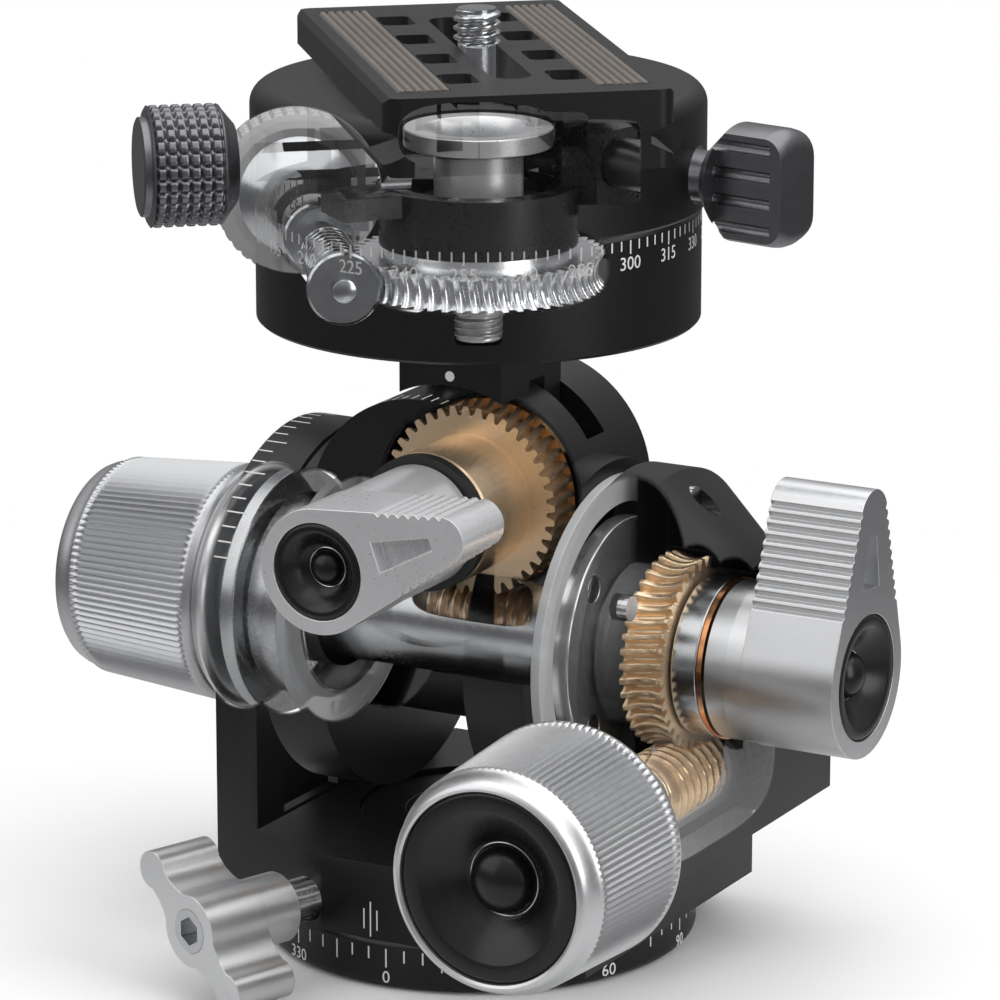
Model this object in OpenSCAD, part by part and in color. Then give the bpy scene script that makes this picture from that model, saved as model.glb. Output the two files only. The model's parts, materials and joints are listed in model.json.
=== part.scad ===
// Geared tripod head: panning base, fork, two worm-driven tilts, geared top pan and a quick-release clamp.
// Millimetres. Origin at the bottom centre of the base disc, +Z up, +Y to the back, lever 2 on +X.

/* [Base disc] */
// Radius of the base disc
base_r = 30; // [26:0.5:34]
// Height of the base disc
base_h = 6.5; // [5:0.5:9]
// Round of the base disc's lower edge
base_edge_r = 1.6; // [0.8:0.2:3]
// Radius of the spigot that the fork turns on
spigot_r = 12; // [10:0.5:14]
// Height of the reduced tip of the spigot
spigot_tip_h = 1.9; // [1:0.1:2.5]
// Radius of the 3/8 inch tripod thread
socket_r = 4.7625; // [3.175:0.1:5.5]
// Depth of the tripod thread
socket_depth = 11; // [8:0.5:12.5]

/* [Fork] */
// Height of the fork's bottom plate
plate_h = 10.6; // [9:0.2:14]
// Distance of the fork's front face from the pan axis
fork_front = 30; // [29:0.5:32]
// Distance of the fork's back face from the pan axis
fork_back = 28.3; // [26:0.5:30]
// Thickness of the left wall
wall_left_t = 8; // [6.5:0.5:10]
// Thickness of the right wall up to the gear room
wall_right_t = 4.5; // [3.5:0.1:4.6]
// Radius of the walls' round tops
wall_top_r = 25; // [22:0.5:26]
// Length of the fork plate past the right wall's inner face
plate_side = 8.9; // [7.4:0.1:12.4]
// Distance of the worm block's right face from its worm
block_side = 8.5; // [7.5:0.5:11.5]
// Height of the worm block's top
block_top = 36; // [34.5:0.5:37]

/* [Tilt axes] */
// Height of the lower tilt axis
axis_b_z = 43.6; // [42.8:0.1:46]
// Radius of the barrel that holds the upper tilt's worm
barrel_r = 13.5; // [12:0.5:15]
// Radius of the cradle's side discs
cradle_r = 24.6; // [22:0.2:25]
// Half distance between the cradle's side discs
cradle_inner = 11.2; // [10:0.2:13]
// Distance of the cradle's end faces from the middle
cradle_half = 20.2; // [18:0.1:20.2]
// Radius of the round housing of the upper tilt
housing_a_r = 17; // [15.5:0.25:17]
// Front end of the round housing
housing_a_front = 16; // [15:0.5:18]
// Back end of the round housing
housing_a_back = 18; // [15:0.5:20]
// Radius of the hollow trunnion in the left wall
trunnion_r = 12.8; // [11:0.2:13.2]
// Radius of the right trunnion shaft
shaft_b_r = 8; // [6.5:0.5:9]
// Radius of the threaded end of the right trunnion shaft
shaft_b_tip_r = 5; // [3.5:0.5:6]
// Radius of the upper tilt's shaft
shaft_a_r = 6; // [5:0.25:7]
// Radius of the threaded end of the upper tilt's shaft
shaft_a_tip_r = 4; // [3:0.25:5]

/* [Gears] */
// Module of the worm gears
gear_module = 0.62; // [0.6:0.01:0.62]
// Teeth of each tilt gear
tilt_teeth = 40; // [36:1:40]
// Teeth of the pan worm wheel
pan_teeth = 52; // [48:1:52]
// Width of a tilt gear
gear_w = 6; // [4:0.2:6]
// Width of the pan worm wheel
wheel_w = 4.7; // [3:0.1:4.7]
// Pitch radius of a tilt worm
tilt_worm_r = 4.8; // [4.6:0.1:4.8]
// Pitch radius of the pan worm
pan_worm_r = 3.2; // [3:0.1:3.2]
// Height of a tooth above its pitch line
addendum = 0.5; // [0.4:0.05:0.5]
// Steps that one turn of a worm thread is drawn with
thread_steps = 16; // [12:1:24]

/* [Knobs and levers] */
// Radius of a tilt knob at its back
knob_back_r = 16; // [14:0.25:17]
// Radius of a tilt knob at its front
knob_front_r = 15; // [13:0.25:16]
// Length of a tilt knob's knurled band
knob_len = 21; // [16:0.5:24]
// Length of a tilt knob's smooth rim
knob_rim_len = 3; // [2:0.25:4]
// Radius of the cap in a tilt knob
knob_cap_r = 12.6; // [10:0.2:13]
// Radius of lever 1's round head
lever_a_r = 8.4; // [7:0.2:9.5]
// Reach of lever 1's tip from its axis
lever_a_reach = 22.7; // [18:0.5:26]
// Radius of lever 1's tip
lever_a_tip_r = 3.3; // [2.5:0.1:4.5]
// Angle of lever 1's arm above the horizontal
lever_a_angle = 19.4; // [10:1:30]
// Radius of lever 2's round head
lever_b_r = 10.9; // [9:0.2:11]
// Reach of lever 2's tip from its axis
lever_b_reach = 25.3; // [22:0.5:28]
// Radius of lever 2's tip
lever_b_tip_r = 4.3; // [3:0.1:5]
// Lean of lever 2's arm from the upright, towards the back
lever_b_lean = 4; // [0:1:10]
// Depth of a lever arm's pocket
lever_pocket = 2.4; // [1:0.2:4]

/* [Wing bolt] */
// Height of the wing bolt above the bottom
wing_z = 10.35; // [10:0.1:11]
// Azimuth of the wing bolt and of the fork's cut corner
wing_azimuth = 250.2; // [247:0.2:253]
// Distance of the cut corner's face from the pan axis
wing_face = 30.8; // [30.4:0.1:31.4]
// Radius of the wing bolt's shaft
wing_shaft_r = 3; // [2.5:0.25:3]
// Half span of the wings
wing_half = 12.8; // [11.5:0.1:13.5]
// Lean of the wings at rest
wing_lean = 40; // [30:1:44]

/* [Top head] */
// Height of the drum's lower face
drum_z = 86.2; // [86:0.1:88]
// Height of the drum
drum_h = 15.5; // [15.5:0.1:17]
// Radius of the drum
drum_r = 29.9; // [28:0.2:31]
// Radius of the drum's inner room
drum_room_r = 27; // [25.5:0.25:27.5]
// Thickness of the drum's floor
drum_floor = 3.1; // [2.5:0.1:3.3]
// Radius of the boss that the head pans on
pan_boss_r = 10.5; // [9.5:0.25:11]
// Azimuth of the pan worm
pan_worm_azimuth = 126.3; // [120:1:134]
// Thickness of the moving jaw up to the rotating housing's edge
jaw_t = 11; // [9.5:0.25:12.5]
// Height of the rotating housing
top_h = 16.1; // [16:0.1:17]
// Round of the housing's upper edge
top_edge_r = 2.6; // [1:0.2:3]
// Azimuth of the direction across the quick plate
plate_azimuth = 40.3; // [30:1:50]
// Travel of the clamp's moving jaw
jaw_travel = 3; // [2:0.5:4]
// Azimuth of the pan lock knob
lock_azimuth = -10; // [-16:1:-6]
// Radius of the pan lock knob
lock_knob_r = 7.9; // [6.5:0.2:8]
// Radius of the clamp knob
clamp_knob_r = 8.1; // [7:0.2:8.4]
// Radius of the pan knob
pan_knob_r = 12; // [10:0.25:12.5]

/* [Quick plate] */
// Width of the quick plate
qr_w = 38; // [37:0.5:39]
// Length of the quick plate
qr_len = 69; // [60:1:80]
// Thickness of the quick plate
qr_h = 10.2; // [9.5:0.1:11]
// Depth of the dovetail groove along each side
groove_depth = 3.4; // [2.5:0.1:4]
// Radius of the 1/4 inch camera screw
camera_screw_r = 3.175; // [2.5:0.1:4.7]
// Height of the camera screw above the plate
camera_screw_h = 5.2; // [4:0.2:7]

/* [Fits] */
// Running clearance of a shaft in its bore, on the radius
run_fit = 0.05; // [0.03:0.01:0.1]
// Clearance of a piece that sits in another, on the radius
seat_fit = 0.02; // [0.01:0.01:0.05]
// Space between faces that move past each other
air = 0.3; // [0.2:0.05:0.35]
// Space between the base disc and the fork, and between the drum and the housing
pan_air = 0.2; // [0.15:0.05:0.3]

/* [Hidden] */
$fn = 64;
over = 1;
turn = 360;

// Sizes of the gear train, from the module
thread_pitch = PI * gear_module;
tilt_pitch_r = tilt_teeth * gear_module / 2;
pan_pitch_r = pan_teeth * gear_module / 2;
tilt_centre = tilt_pitch_r + tilt_worm_r;
pan_centre = pan_pitch_r + pan_worm_r;
tip_clear = 0.2;
crest_half = 0.22;
thread_base_half = 0.62;
tooth_gap_half = 0.34;
tooth_gap_slope_share = 0.48;
thread_sink = 0.15;
throat_air = 0.8;
axis_a_z = axis_b_z + tilt_centre;
worm_b_z = axis_b_z - tilt_centre;
worm_room_r = tilt_worm_r + addendum + throat_air;
gear_tip_r = tilt_pitch_r + addendum;
gear_room_r = gear_tip_r + throat_air;
worm_thread_half = 11;
worm_shaft_r = 3.5;

// Heights of the base and of the fork's plate
plate_z = base_h + pan_air;
plate_top = plate_z + plate_h;
ring_t = 2;
ring_r = 16.2;
ring_z = plate_top - ring_t - pan_air - ring_t / 4;
spigot_tip_r = spigot_r - ring_t;
tip_chamfer = 0.4;

// Fork
cover_t = 2.5;
cover_air = 0.9;
wall_left_in = cradle_half + air;
wall_left_out = wall_left_in + wall_left_t;
wall_right_in = cradle_half + cover_t + cover_air;
plate_right = wall_right_in + plate_side;
wall_side = 25;
wall_back = 24.5;
rear_corner = 9;
wall_right_drop = 0.5;
wall_right_r = wall_top_r - wall_right_drop;
gear_room_x = wall_right_in + wall_right_t;
gear_b_x = gear_room_x + air;
gear_room_end = gear_b_x + gear_w + air;
worm_b_shift = 0.1;
worm_b_x = gear_b_x + gear_w / 2 + worm_b_shift;
block_right = worm_b_x + block_side;
block_set_back = 1;
block_front = fork_front - block_set_back;
housing_nose = 8.3;
housing_end = gear_room_end + housing_nose;
housing_end_r = 14;
housing_rim = 2;
hub_air = 0.7;
hub_room_r = lever_b_r + hub_air;
left_bush_wall = 1.2;
left_bush_r = trunnion_r + left_bush_wall;
right_bush_wall = 3;
right_bush_r = shaft_b_r + right_bush_wall;
thrust_r = 17.4;
thrust_t = 1.5;
worm_bush_len = 6;
worm_bush_r = worm_room_r;
block_foot = 0.5;
screw_head_r = 1.7;
screw_r = 1;
screw_head_h = 1.4;
screw_len = 6;
wall_pocket_y = 7;
wall_pocket_h = 7;
wall_pocket_d = 1.6;
wall_cut = 5;

// Wing bolt
wing_hub_r = 5;
wing_neck_in = 0.2;
wing_start = 5;
wing_end = 20.2;
wing_depth = 9.5;
wing_tip_r = 2.6;
wing_neck_share = [1.08, 0.46];
wing_waist_share = [1.38, 0.39];
brake_len = 3;
wing_socket_r = 2;
wing_socket_depth = 2.4;

// Cradle
flange_r = 17.2;
flange_t = 2.2;
flange_air = 0.4;
bush_end = wall_left_out + flange_air + flange_t;
hollow_r = 9.3;
sleeve_r = 8;
sleeve_in = 0.7;
sleeve_end = cradle_half - sleeve_in;
cover_r = 17;
cover_bolt_r = 13.5;
seal_b_r = 22.7;
seal_b_in = 18.9;
seal_b_t = 1.4;
shaft_a_hub_r = 9.3;
gear_a_front = 2.7;
slot_air = 0.7;
arm_slot_front = gear_w - gear_a_front + slot_air;
arm_disc_t = 5;
arm_slot_back = arm_slot_front + arm_disc_t;
arm_disc_r = 13;
arm_half = 7.8;
tilt_reach = 20;
tilt_spare = 1.5;
arm_open_angle = asin(arm_half / arm_disc_r) + tilt_reach + tilt_spare;
seal_a_t = 1.6;
rear_cover_t = 1.6;
rear_cover_r = 14.5;
web_half = 10;

// Train outside gear B
clamp_ring_len = 3.7;
copper_t = 0.7;
clamp_ring_x = gear_room_end + air / 3;
copper_x = clamp_ring_x + clamp_ring_len + air / 2;
lever_b_x = copper_x + copper_t + air;
lever_b_gap = 2;
lever_b_arm = housing_end + lever_b_gap;
lever_b_t = 13.3;
lever_b_face = lever_b_arm + lever_b_t;
lever_b_cap_r = 8.5;
lever_a_face = 43.2;
lever_a_arm = 32.2;
lever_a_cap_r = 6.5;
lever_cap_t = 3.6;
dome_share = 0.4;
pocket_share = 1.5;
point_share = 0.25;
bowl_share = 0.8;
groove_pitch = 1.5;
groove_w = 0.75;
lever_a_grooves = 7;
lever_b_grooves = 10;

// Tilt knobs
knob_air = 1;
knob_2_y = fork_front + knob_air;
knob_1_gap = 4.9;
knob_1_x = bush_end + knob_1_gap;
knob_extra = 0.8;
knob_shell = 3;
knob_cap_t = 6;
knob_rim_in = 1.5;
knob_rim_r = knob_front_r - knob_rim_in;
knob_back_h = 8;
collar_r = 17.3;
collar_neck_r = 12.4;
collar_neck_len = 2;
collar_len = 2.4;

// Support block under the drum
arm_front = 8;
arm_back = 9;
arm_neck_front = arm_slot_front + air;
arm_neck_back = arm_slot_back - air;
block_arc_r = housing_a_r + air;

// Drum, wheel and collar
drum_top = drum_z + drum_h;
top_z = drum_top + pan_air;
top_top = top_z + top_h;
channel_depth = 5.8;
channel_z = top_top - channel_depth;
jaw_side = 0.5;
jaw_face = qr_w / 2 + jaw_side;
top_r = jaw_face + jaw_t;
worm_rise = 6.4;
worm_z = drum_z + worm_rise;
wheel_z = worm_z - wheel_w / 2;
wheel_tip_r = pan_pitch_r + addendum;
wheel_hub_rise = 1.3;
wheel_hub_z = wheel_z + wheel_w + wheel_hub_rise;
wheel_hub_r = 12.6;
collar_h = 8;
collar_z = wheel_hub_z;
collar_top = collar_z + collar_h;
split_r = 13.4;
split_in = pan_boss_r + run_fit;
lug_azimuth = 232;
lug_reach = 21;
lug_half = 4.2;
lug_room = 0.9;
lug_t = 3;
lug_bolt = 17.2;
lug_bolt_half = 2.2;
ear_half = 4.4;
ear_drop = 0.6;
ear_z = channel_z - ear_drop;
ear_first_end = 15;
ear_first = 9;
ear_second_end = 6;
ear_second = 1.8;
lock_offset = 10.9;
lock_rise = 5.3;
lock_z = top_z + lock_rise;
lock_bore_r = 3.9;
lock_shaft_r = 3.4;
lock_tip_r = 1.9;
lock_gap = 1.7;
lock_near = top_r + lock_gap;
lock_knob_len = 12.3;
lock_neck_r = 5;
lock_seat = 2;
lock_flat = 3.7;
lock_round = 2.6;
lock_far = lock_near + lock_knob_len;
lock_start = 1.6;
lock_bevel = 3.2;
lock_groove_r = 0.8;
lock_groove_out = 0.15;
lock_groove_pitch = 3.6;
lock_groove_in = 1.8;
lock_grooves = 4;
axle_rim_r = 10.06;
axle_rim_top = channel_z - air;
axle_rim_z = lock_z + lock_tip_r + air;
axle_neck_r = 6;
boss_drop = 2.6;
boss_top = collar_top - boss_drop;
axle_stud_r = 3;
axle_stud_z = 82.9;
funnel_r = 7.4;
funnel_low_r = 3.2;
funnel_depth = 3.4;
pan_wall_half = 6.2;
pan_tube_r = 5.7;
worm_neck_r = 4.4;
worm_head_r = 4.9;
pan_worm_half = 9;
pan_worm_start = -12.2;
pan_bush_start = 22.8;
pan_bush_end = 32;
pan_knob_start = 50.5;
pan_knob_len = 8;
pan_shaft_r = 2.4;
pan_knob_neck = 2.5;
pan_knob_bevel = 1;

// Rotating housing, jaw and plate
web_z = collar_top;
rim_room = 0.4;
jaw_rise = 1.7;
jaw_z = top_z + jaw_rise;
nose_in = 0.35;
qr_z = channel_z + pan_air;
dovetail_rise = 1.5;
dovetail_z = qr_z + dovetail_rise;
lip_rise = 5.7;
lip_z = qr_z + lip_rise;
qr_top = qr_z + qr_h;
qr_edge = 0.8;
qr_corner_r = 2.4;
groove_flat = 1.2;
window_u = 7.1;
window_v = 7.35;
window_step = 14.7;
window_w = 4.6;
window_len = 7;
slot_half = 2.7;
slot_end = 23.5;
slot_low_half = 5.8;
slot_low_rise = 3.8;
slot_low_z = qr_z + slot_low_rise;
pad_in = 9.5;
pad_out = 16.5;
pad_end = 30;
pad_sink = 0.5;
pad_t = 0.8;
screw_v = 1;
neck_r = 2.5;
camera_head_r = 5.4;
camera_head_rise = 0.5;
camera_head_low = qr_z + camera_head_rise;
washer_t = 0.5;
washer_z = slot_low_z - washer_t - air / 3;
pin_sink = 7.5;
clamp_rise = 6.3;
clamp_z = top_z + clamp_rise;
tube_top = min(lock_z - lock_knob_r, clamp_z - clamp_knob_r) - air;
clamp_screw_r = 2.5;
clamp_screw_in = jaw_face - pin_sink;
clamp_gap = 2.5;
clamp_near = top_r + clamp_gap;
clamp_neck_len = 1.7;
clamp_len = 11.7;
clamp_end = clamp_near + clamp_len;
clamp_dome = 1.1;
clamp_cap = clamp_end + clamp_dome;
clamp_neck_r = 5.5;
clamp_cone_r = 7.5;
clamp_cap_r = 6.4;
pin_v = 14;
pin_r = 1.5;
pin_in = jaw_face - pin_sink;
pin_out = jaw_face + pin_sink;
pin_z = clamp_z;

// Shared shapes
module rod_x(x0, x1, r) {
  translate([x0, 0, 0]) rotate([0, 90, 0]) cylinder(h = x1 - x0, r = r);
}

module rod_y(y0, y1, r) {
  translate([0, y0, 0]) rotate([-90, 0, 0]) cylinder(h = y1 - y0, r = r);
}

module rod_z(z0, z1, r) {
  translate([0, 0, z0]) cylinder(h = z1 - z0, r = r);
}

module span(x, y, z) {
  translate([x[0], y[0], z[0]]) cube([x[1] - x[0], y[1] - y[0], z[1] - z[0]]);
}

module at_a() {
  translate([0, 0, axis_a_z]) children();
}

module at_b() {
  translate([0, 0, axis_b_z]) children();
}

module at_worm_b() {
  translate([worm_b_x, 0, worm_b_z]) children();
}

// Frame of the pan worm: +X along the worm, origin where it meets the wheel
module at_pan_worm() {
  rotate([0, 0, pan_worm_azimuth]) translate([0, pan_centre, worm_z]) children();
}

// Frame of the plate: +X across it, away from the moving jaw
module plate_frame() {
  rotate([0, 0, plate_azimuth]) children();
}

// Frame of the lock screw: +X along it, outwards
module lock_frame() {
  rotate([0, 0, lock_azimuth]) translate([0, lock_offset, lock_z]) children();
}

// Frame of the wing bolt: +X outwards, origin on the cut corner's face
module wing_frame() {
  rotate([0, 0, wing_azimuth]) translate([wing_face, 0, wing_z]) children();
}

function arc(cx, cy, r, a0, a1, n) = [
  for (i = [0:n]) let (a = a0 + (a1 - a0) * i / n) [cx + r * cos(a), cy + r * sin(a)]
];

// Round outline of two circles and their outer tangents, along +X
module teardrop(r, tip_r, reach) {
  a = acos((r - tip_r) / (reach - tip_r));
  circle(r = r);
  translate([reach - tip_r, 0]) circle(r = tip_r);
  polygon([
    [r * cos(a), r * sin(a)], [reach - tip_r + tip_r * cos(a), tip_r * sin(a)],
    [reach - tip_r + tip_r * cos(a), -tip_r * sin(a)], [r * cos(a), -r * sin(a)]
  ]);
}

// Spur outline with wide gaps for a worm; a gap points along +X
module gear_outline(teeth, pitch_r, tip_r) {
  root_r = pitch_r - addendum - tip_clear;
  gap_root = tooth_gap_half;
  gap_tip = tooth_gap_half + tooth_gap_slope_share * (tip_r + over - root_r);
  difference() {
    circle(r = tip_r, $fn = 2 * $fn);
    for (i = [0:teeth - 1])
      rotate(turn * i / teeth)
        polygon([
          [root_r, -gap_root], [tip_r + over, -gap_tip],
          [tip_r + over, gap_tip], [root_r, gap_root]
        ]);
  }
}

// One right-hand thread along +Z; its crest crosses z = 0 at the angle phase
module worm_thread(half, pitch_r, phase) {
  root_r = pitch_r - addendum - thread_sink;
  crest_r = pitch_r + addendum;
  turns = 2 * half / thread_pitch;
  n = ceil(turns * thread_steps);
  start = -half / thread_pitch * turn + phase;
  ring = [
    [root_r, -thread_base_half], [crest_r, -crest_half], [crest_r, crest_half], [root_r, thread_base_half]
  ];
  points = [
    for (i = [0:n], p = ring)
      let (a = start + turns * turn * i / n)
        [p[0] * cos(a), p[0] * sin(a), thread_pitch * (a - phase) / turn + p[1]]
  ];
  sides = [
    for (i = [0:n - 1], k = [0:3], t = [0, 1])
      let (a = 4 * i + k, b = 4 * i + (k + 1) % 4)
        t == 0 ? [a, b, b + 4] : [a, b + 4, a + 4]
  ];
  foot = 4 * n;
  polyhedron(points = points, faces = concat(
    sides, [[0, 2, 1], [0, 3, 2]], [[foot, foot + 1, foot + 2], [foot, foot + 2, foot + 3]]
  ));
}

// Worm with its core and its shaft from low to high, along +Z
module worm(half, pitch_r, phase, low, high, shaft_r) {
  worm_thread(half, pitch_r, phase);
  rod_z(-half - thread_pitch, half + thread_pitch, pitch_r - addendum);
  rod_z(low, high, shaft_r);
}

// Tilt knob with its back at z = 0 and its front towards +Z
module tilt_knob(extra) {
  cap_z = knob_len + knob_rim_len - knob_cap_t;
  difference() {
    rotate_extrude() polygon([
      [0, 0], [knob_back_r + extra - knob_shell / 6, 0], [knob_back_r + extra, knob_shell / 6],
      [knob_front_r + extra / 2, knob_len],
      [knob_rim_r, knob_len + knob_rim_len], [0, knob_len + knob_rim_len]
    ]);
    rod_z(cap_z, knob_len + knob_rim_len + over, knob_cap_r + seat_fit);
    rod_z(-over, cap_z + over, worm_shaft_r + seat_fit);
  }
}

// Dished cap with a dome, from z = 0 up to its rim
module dished_cap(r, t) {
  dome_r = r * dome_share;
  bowl_r = r * bowl_share;
  dish = t * bowl_share;
  rotate_extrude() polygon(concat(
    [[0, 0], [r, 0], [r, t - tip_chamfer], [r - tip_chamfer, t], [bowl_r, t]],
    [[dome_r + (bowl_r - dome_r) / 3, t - dish * bowl_share], [dome_r, t - dish]],
    [for (i = [1:8]) let (a = 90 * i / 8) [dome_r * cos(a), t - dish + dome_r * bowl_share * sin(a)]]
  ));
}

// Lever with its arm along +X and its face towards +Z at z = face
module lever(r, tip_r, reach, low, arm, face, bore_r, cap_r, grooves) {
  side_a = acos((r - tip_r) / (reach - tip_r));
  difference() {
    union() {
      rod_z(low, arm, r - tip_chamfer / 2);
      translate([0, 0, arm]) linear_extrude(face - arm) difference() {
        teardrop(r, tip_r, reach);
        for (s = [-1, 1], i = [0:grooves - 1])
          translate([r * cos(side_a), s * r * sin(side_a)])
            rotate(s * (side_a - 90))
              translate([(reach - tip_r) * sin(side_a) - i * groove_pitch, 0])
                rotate(45) square(groove_w, center = true);
      }
    }
    rod_z(low - over, face - lever_cap_t - over, bore_r);
    rod_z(face - lever_cap_t, face + over, cap_r + seat_fit);
    translate([0, 0, face - lever_pocket]) linear_extrude(lever_pocket + over) difference() {
      polygon([
        [cap_r * sqrt(2), -(r - tip_r) * dome_share], [reach - pocket_share * tip_r, -tip_r * point_share],
        [reach - pocket_share * tip_r, tip_r * point_share], [cap_r * sqrt(2), (r - tip_r) * dome_share]
      ]);
      circle(r = (r + cap_r) / 2 + tip_chamfer);
    }
  }
}

// Base
module base_disc() {
  color("#1c1c1e") difference() {
    rotate_extrude() polygon(concat(
      [[0, 0]], arc(base_r - base_edge_r, base_edge_r, base_edge_r, -90, 0, 8),
      [
        [base_r, base_h - tip_chamfer], [base_r - tip_chamfer, base_h], [spigot_r, base_h],
        [spigot_r, ring_z], [spigot_tip_r, ring_z], [spigot_tip_r, ring_z + spigot_tip_h], [0, ring_z + spigot_tip_h]
      ]
    ));
    rod_z(-over, socket_depth, socket_r);
  }
}

module pan_retaining_ring() {
  color("#2a2a2c") difference() {
    rod_z(ring_z, ring_z + ring_t, ring_r);
    rod_z(ring_z - over, ring_z + ring_t + over, spigot_tip_r + seat_fit);
  }
}

// Outline of the fork's plate, seen from above
module fork_outline() {
  corner_x = (wing_face + fork_front * sin(wing_azimuth)) / cos(wing_azimuth);
  corner_y = (wing_face + wall_left_out * cos(wing_azimuth)) / sin(wing_azimuth);
  polygon([
    [corner_x, -fork_front], [plate_right, -fork_front], [plate_right, fork_back - rear_corner],
    [plate_right - rear_corner, fork_back], [-wall_left_out + rear_corner, fork_back],
    [-wall_left_out, fork_back - rear_corner], [-wall_left_out, corner_y]
  ]);
}

// Side wall with a round top, from x0 to x1
module fork_wall(x0, x1, r) {
  at_b() rod_x(x0, x1, r);
  span([x0, x1], [-wall_side, wall_back], [plate_z + wall_cut, axis_b_z]);
}

// Everything that must stay open for gear B, its clamp and the worm under it
module gear_b_room() {
  at_b() rod_x(gear_room_x, gear_room_end, gear_room_r);
  at_b() rod_x(gear_room_x, housing_end + over, hub_room_r);
  at_worm_b() rod_y(-block_front - over, fork_back + over, worm_bush_r);
}

module fork_frame() {
  color("#1c1c1e") difference() {
    union() {
      translate([0, 0, plate_z]) linear_extrude(plate_h) fork_outline();
      intersection() {
        fork_wall(-wall_left_out, -wall_left_in, wall_top_r);
        translate([0, 0, plate_z]) linear_extrude(axis_b_z + wall_top_r) fork_outline();
      }
      fork_wall(wall_right_in, gear_room_x, wall_right_r);
      span([wall_right_in, block_right], [-block_front, fork_back], [plate_top + block_foot, block_top]);
      span([wall_right_in, plate_right], [-block_front, fork_back - rear_corner], [plate_z, block_top]);
    }
    rod_z(plate_z - over, plate_top + over, spigot_r + run_fit);
    rod_z(ring_z - run_fit, plate_top + over, ring_r + air);
    at_b() rod_x(-wall_left_out - over, -wall_left_in + over, left_bush_r + seat_fit);
    at_b() rod_x(-wall_left_in - thrust_t, -wall_left_in + over, thrust_r + seat_fit);
    at_b() rod_x(wall_right_in - over, gear_room_x + over, right_bush_r + seat_fit);
    gear_b_room();
    wing_frame() rod_x(-wing_face, over, wing_shaft_r + run_fit);
    span(
      [-wall_left_in - wall_pocket_d, -wall_left_in + over], [-wall_side + wall_pocket_y, -wall_pocket_y / 2],
      [plate_top + block_foot, plate_top + wall_pocket_h]
    );
  }
}

module gear_b_housing() {
  color("#202022") difference() {
    at_b() rotate([0, 90, 0]) rotate_extrude() polygon([
      [0, gear_room_x], [wall_right_r, gear_room_x], [wall_right_r, gear_room_x + housing_rim],
      [housing_end_r, housing_end], [0, housing_end]
    ]);
    gear_b_room();
    span([gear_room_x - over, housing_end + over], [-wall_side, wall_side], [0, block_top]);
    housing_screw_places() rod_x(-over, screw_len, screw_head_r + run_fit);
  }
}

// Places of the housing's screws, on the sloping face, drilled towards the wall
module housing_screw_places() {
  for (a = [30, 90, 150])
    at_b() rotate([a, 0, 0])
      translate([gear_room_x + housing_rim + screw_head_h, wall_right_r - 2 * screw_head_r, 0])
      children();
}

module housing_screws() {
  color("#3a3a3c") housing_screw_places() {
    rod_x(0, screw_head_h, screw_head_r);
  }
}

module pan_brake_pad() {
  color("#c98a3d") wing_frame()
    rod_x(spigot_r + run_fit * 3 - wing_face, spigot_r + brake_len - wing_face, wing_shaft_r - run_fit);
}

module left_trunnion_bush() {
  color("#8d8f92") at_b() difference() {
    rod_x(-wall_left_out, -wall_left_in - thrust_t, left_bush_r);
    rod_x(-wall_left_out - over, -wall_left_in + over, trunnion_r + run_fit);
  }
}

module right_trunnion_bush() {
  color("#8d8f92") at_b() difference() {
    rod_x(wall_right_in, gear_room_x, right_bush_r);
    rod_x(wall_right_in - over, gear_room_x + over, shaft_b_r + run_fit);
  }
}

module left_thrust_washer() {
  color("#9a9b9d") at_b() difference() {
    rod_x(-wall_left_in - thrust_t, -wall_left_in, thrust_r);
    rod_x(-wall_left_in - thrust_t - over, -wall_left_in + over, trunnion_r + air);
  }
}

// Plain bush along +Y on the lower worm's axis
module worm_b_bush(y0, y1) {
  at_worm_b() difference() {
    rod_y(y0, y1, worm_bush_r - seat_fit);
    rod_y(y0 - over, y1 + over, worm_shaft_r + run_fit);
  }
}

module worm_b_bushes() {
  color("#b98a4a") {
    worm_b_bush(-block_front, -block_front + worm_bush_len);
    worm_b_bush(fork_back - worm_bush_len - thrust_t, fork_back - thrust_t);
  }
}

module worm_b_end_cap() {
  color("#1c1c1e") at_worm_b() rod_y(fork_back - thrust_t, fork_back, worm_bush_r - seat_fit);
}

// Both wings of the wing bolt, seen from the front: one quarter, mirrored round the hub
module wing_outline() {
  quarter = concat(
    arc(0, 0, wing_hub_r, 90, 35, 6), [wing_neck_share * wing_hub_r, wing_waist_share * wing_hub_r],
    arc(wing_half - wing_tip_r, 0, wing_tip_r, 130, 0, 8)
  );
  last = len(quarter) - 1;
  polygon(concat(
    quarter, [for (i = [last - 1:-1:0]) [quarter[i][0], -quarter[i][1]]],
    [for (i = [1:last]) -quarter[i]], [for (i = [last - 1:-1:1]) [-quarter[i][0], quarter[i][1]]]
  ));
}

module wing_knob() {
  color("#b9bbbe") wing_frame() difference() {
    union() {
      rod_x(wing_start, wing_end - wing_depth + over, wing_hub_r - wing_neck_in);
      rotate([-wing_lean, 0, 0]) translate([wing_end - wing_depth, 0, 0]) rotate([90, 0, 90])
        linear_extrude(wing_depth) wing_outline();
    }
    rod_x(wing_start - over, wing_end + over, wing_shaft_r + seat_fit);
  }
}

module wing_bolt() {
  color("#2b2b2d") wing_frame() difference() {
    rod_x(spigot_r + brake_len + run_fit - wing_face, wing_end, wing_shaft_r);
    translate([wing_end - wing_socket_depth, 0, 0]) rotate([0, 90, 0])
      cylinder(h = wing_socket_depth + over, r = wing_socket_r, $fn = 6);
  }
}

// Lower tilt drive
module worm_b() {
  color("#c9853f") at_worm_b() rotate([-90, 0, 0])
    worm(
      worm_thread_half, tilt_worm_r, 270,
      -knob_2_y - knob_back_h - knob_back_h / 2, fork_back - thrust_t - air, worm_shaft_r
    );
}

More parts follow.
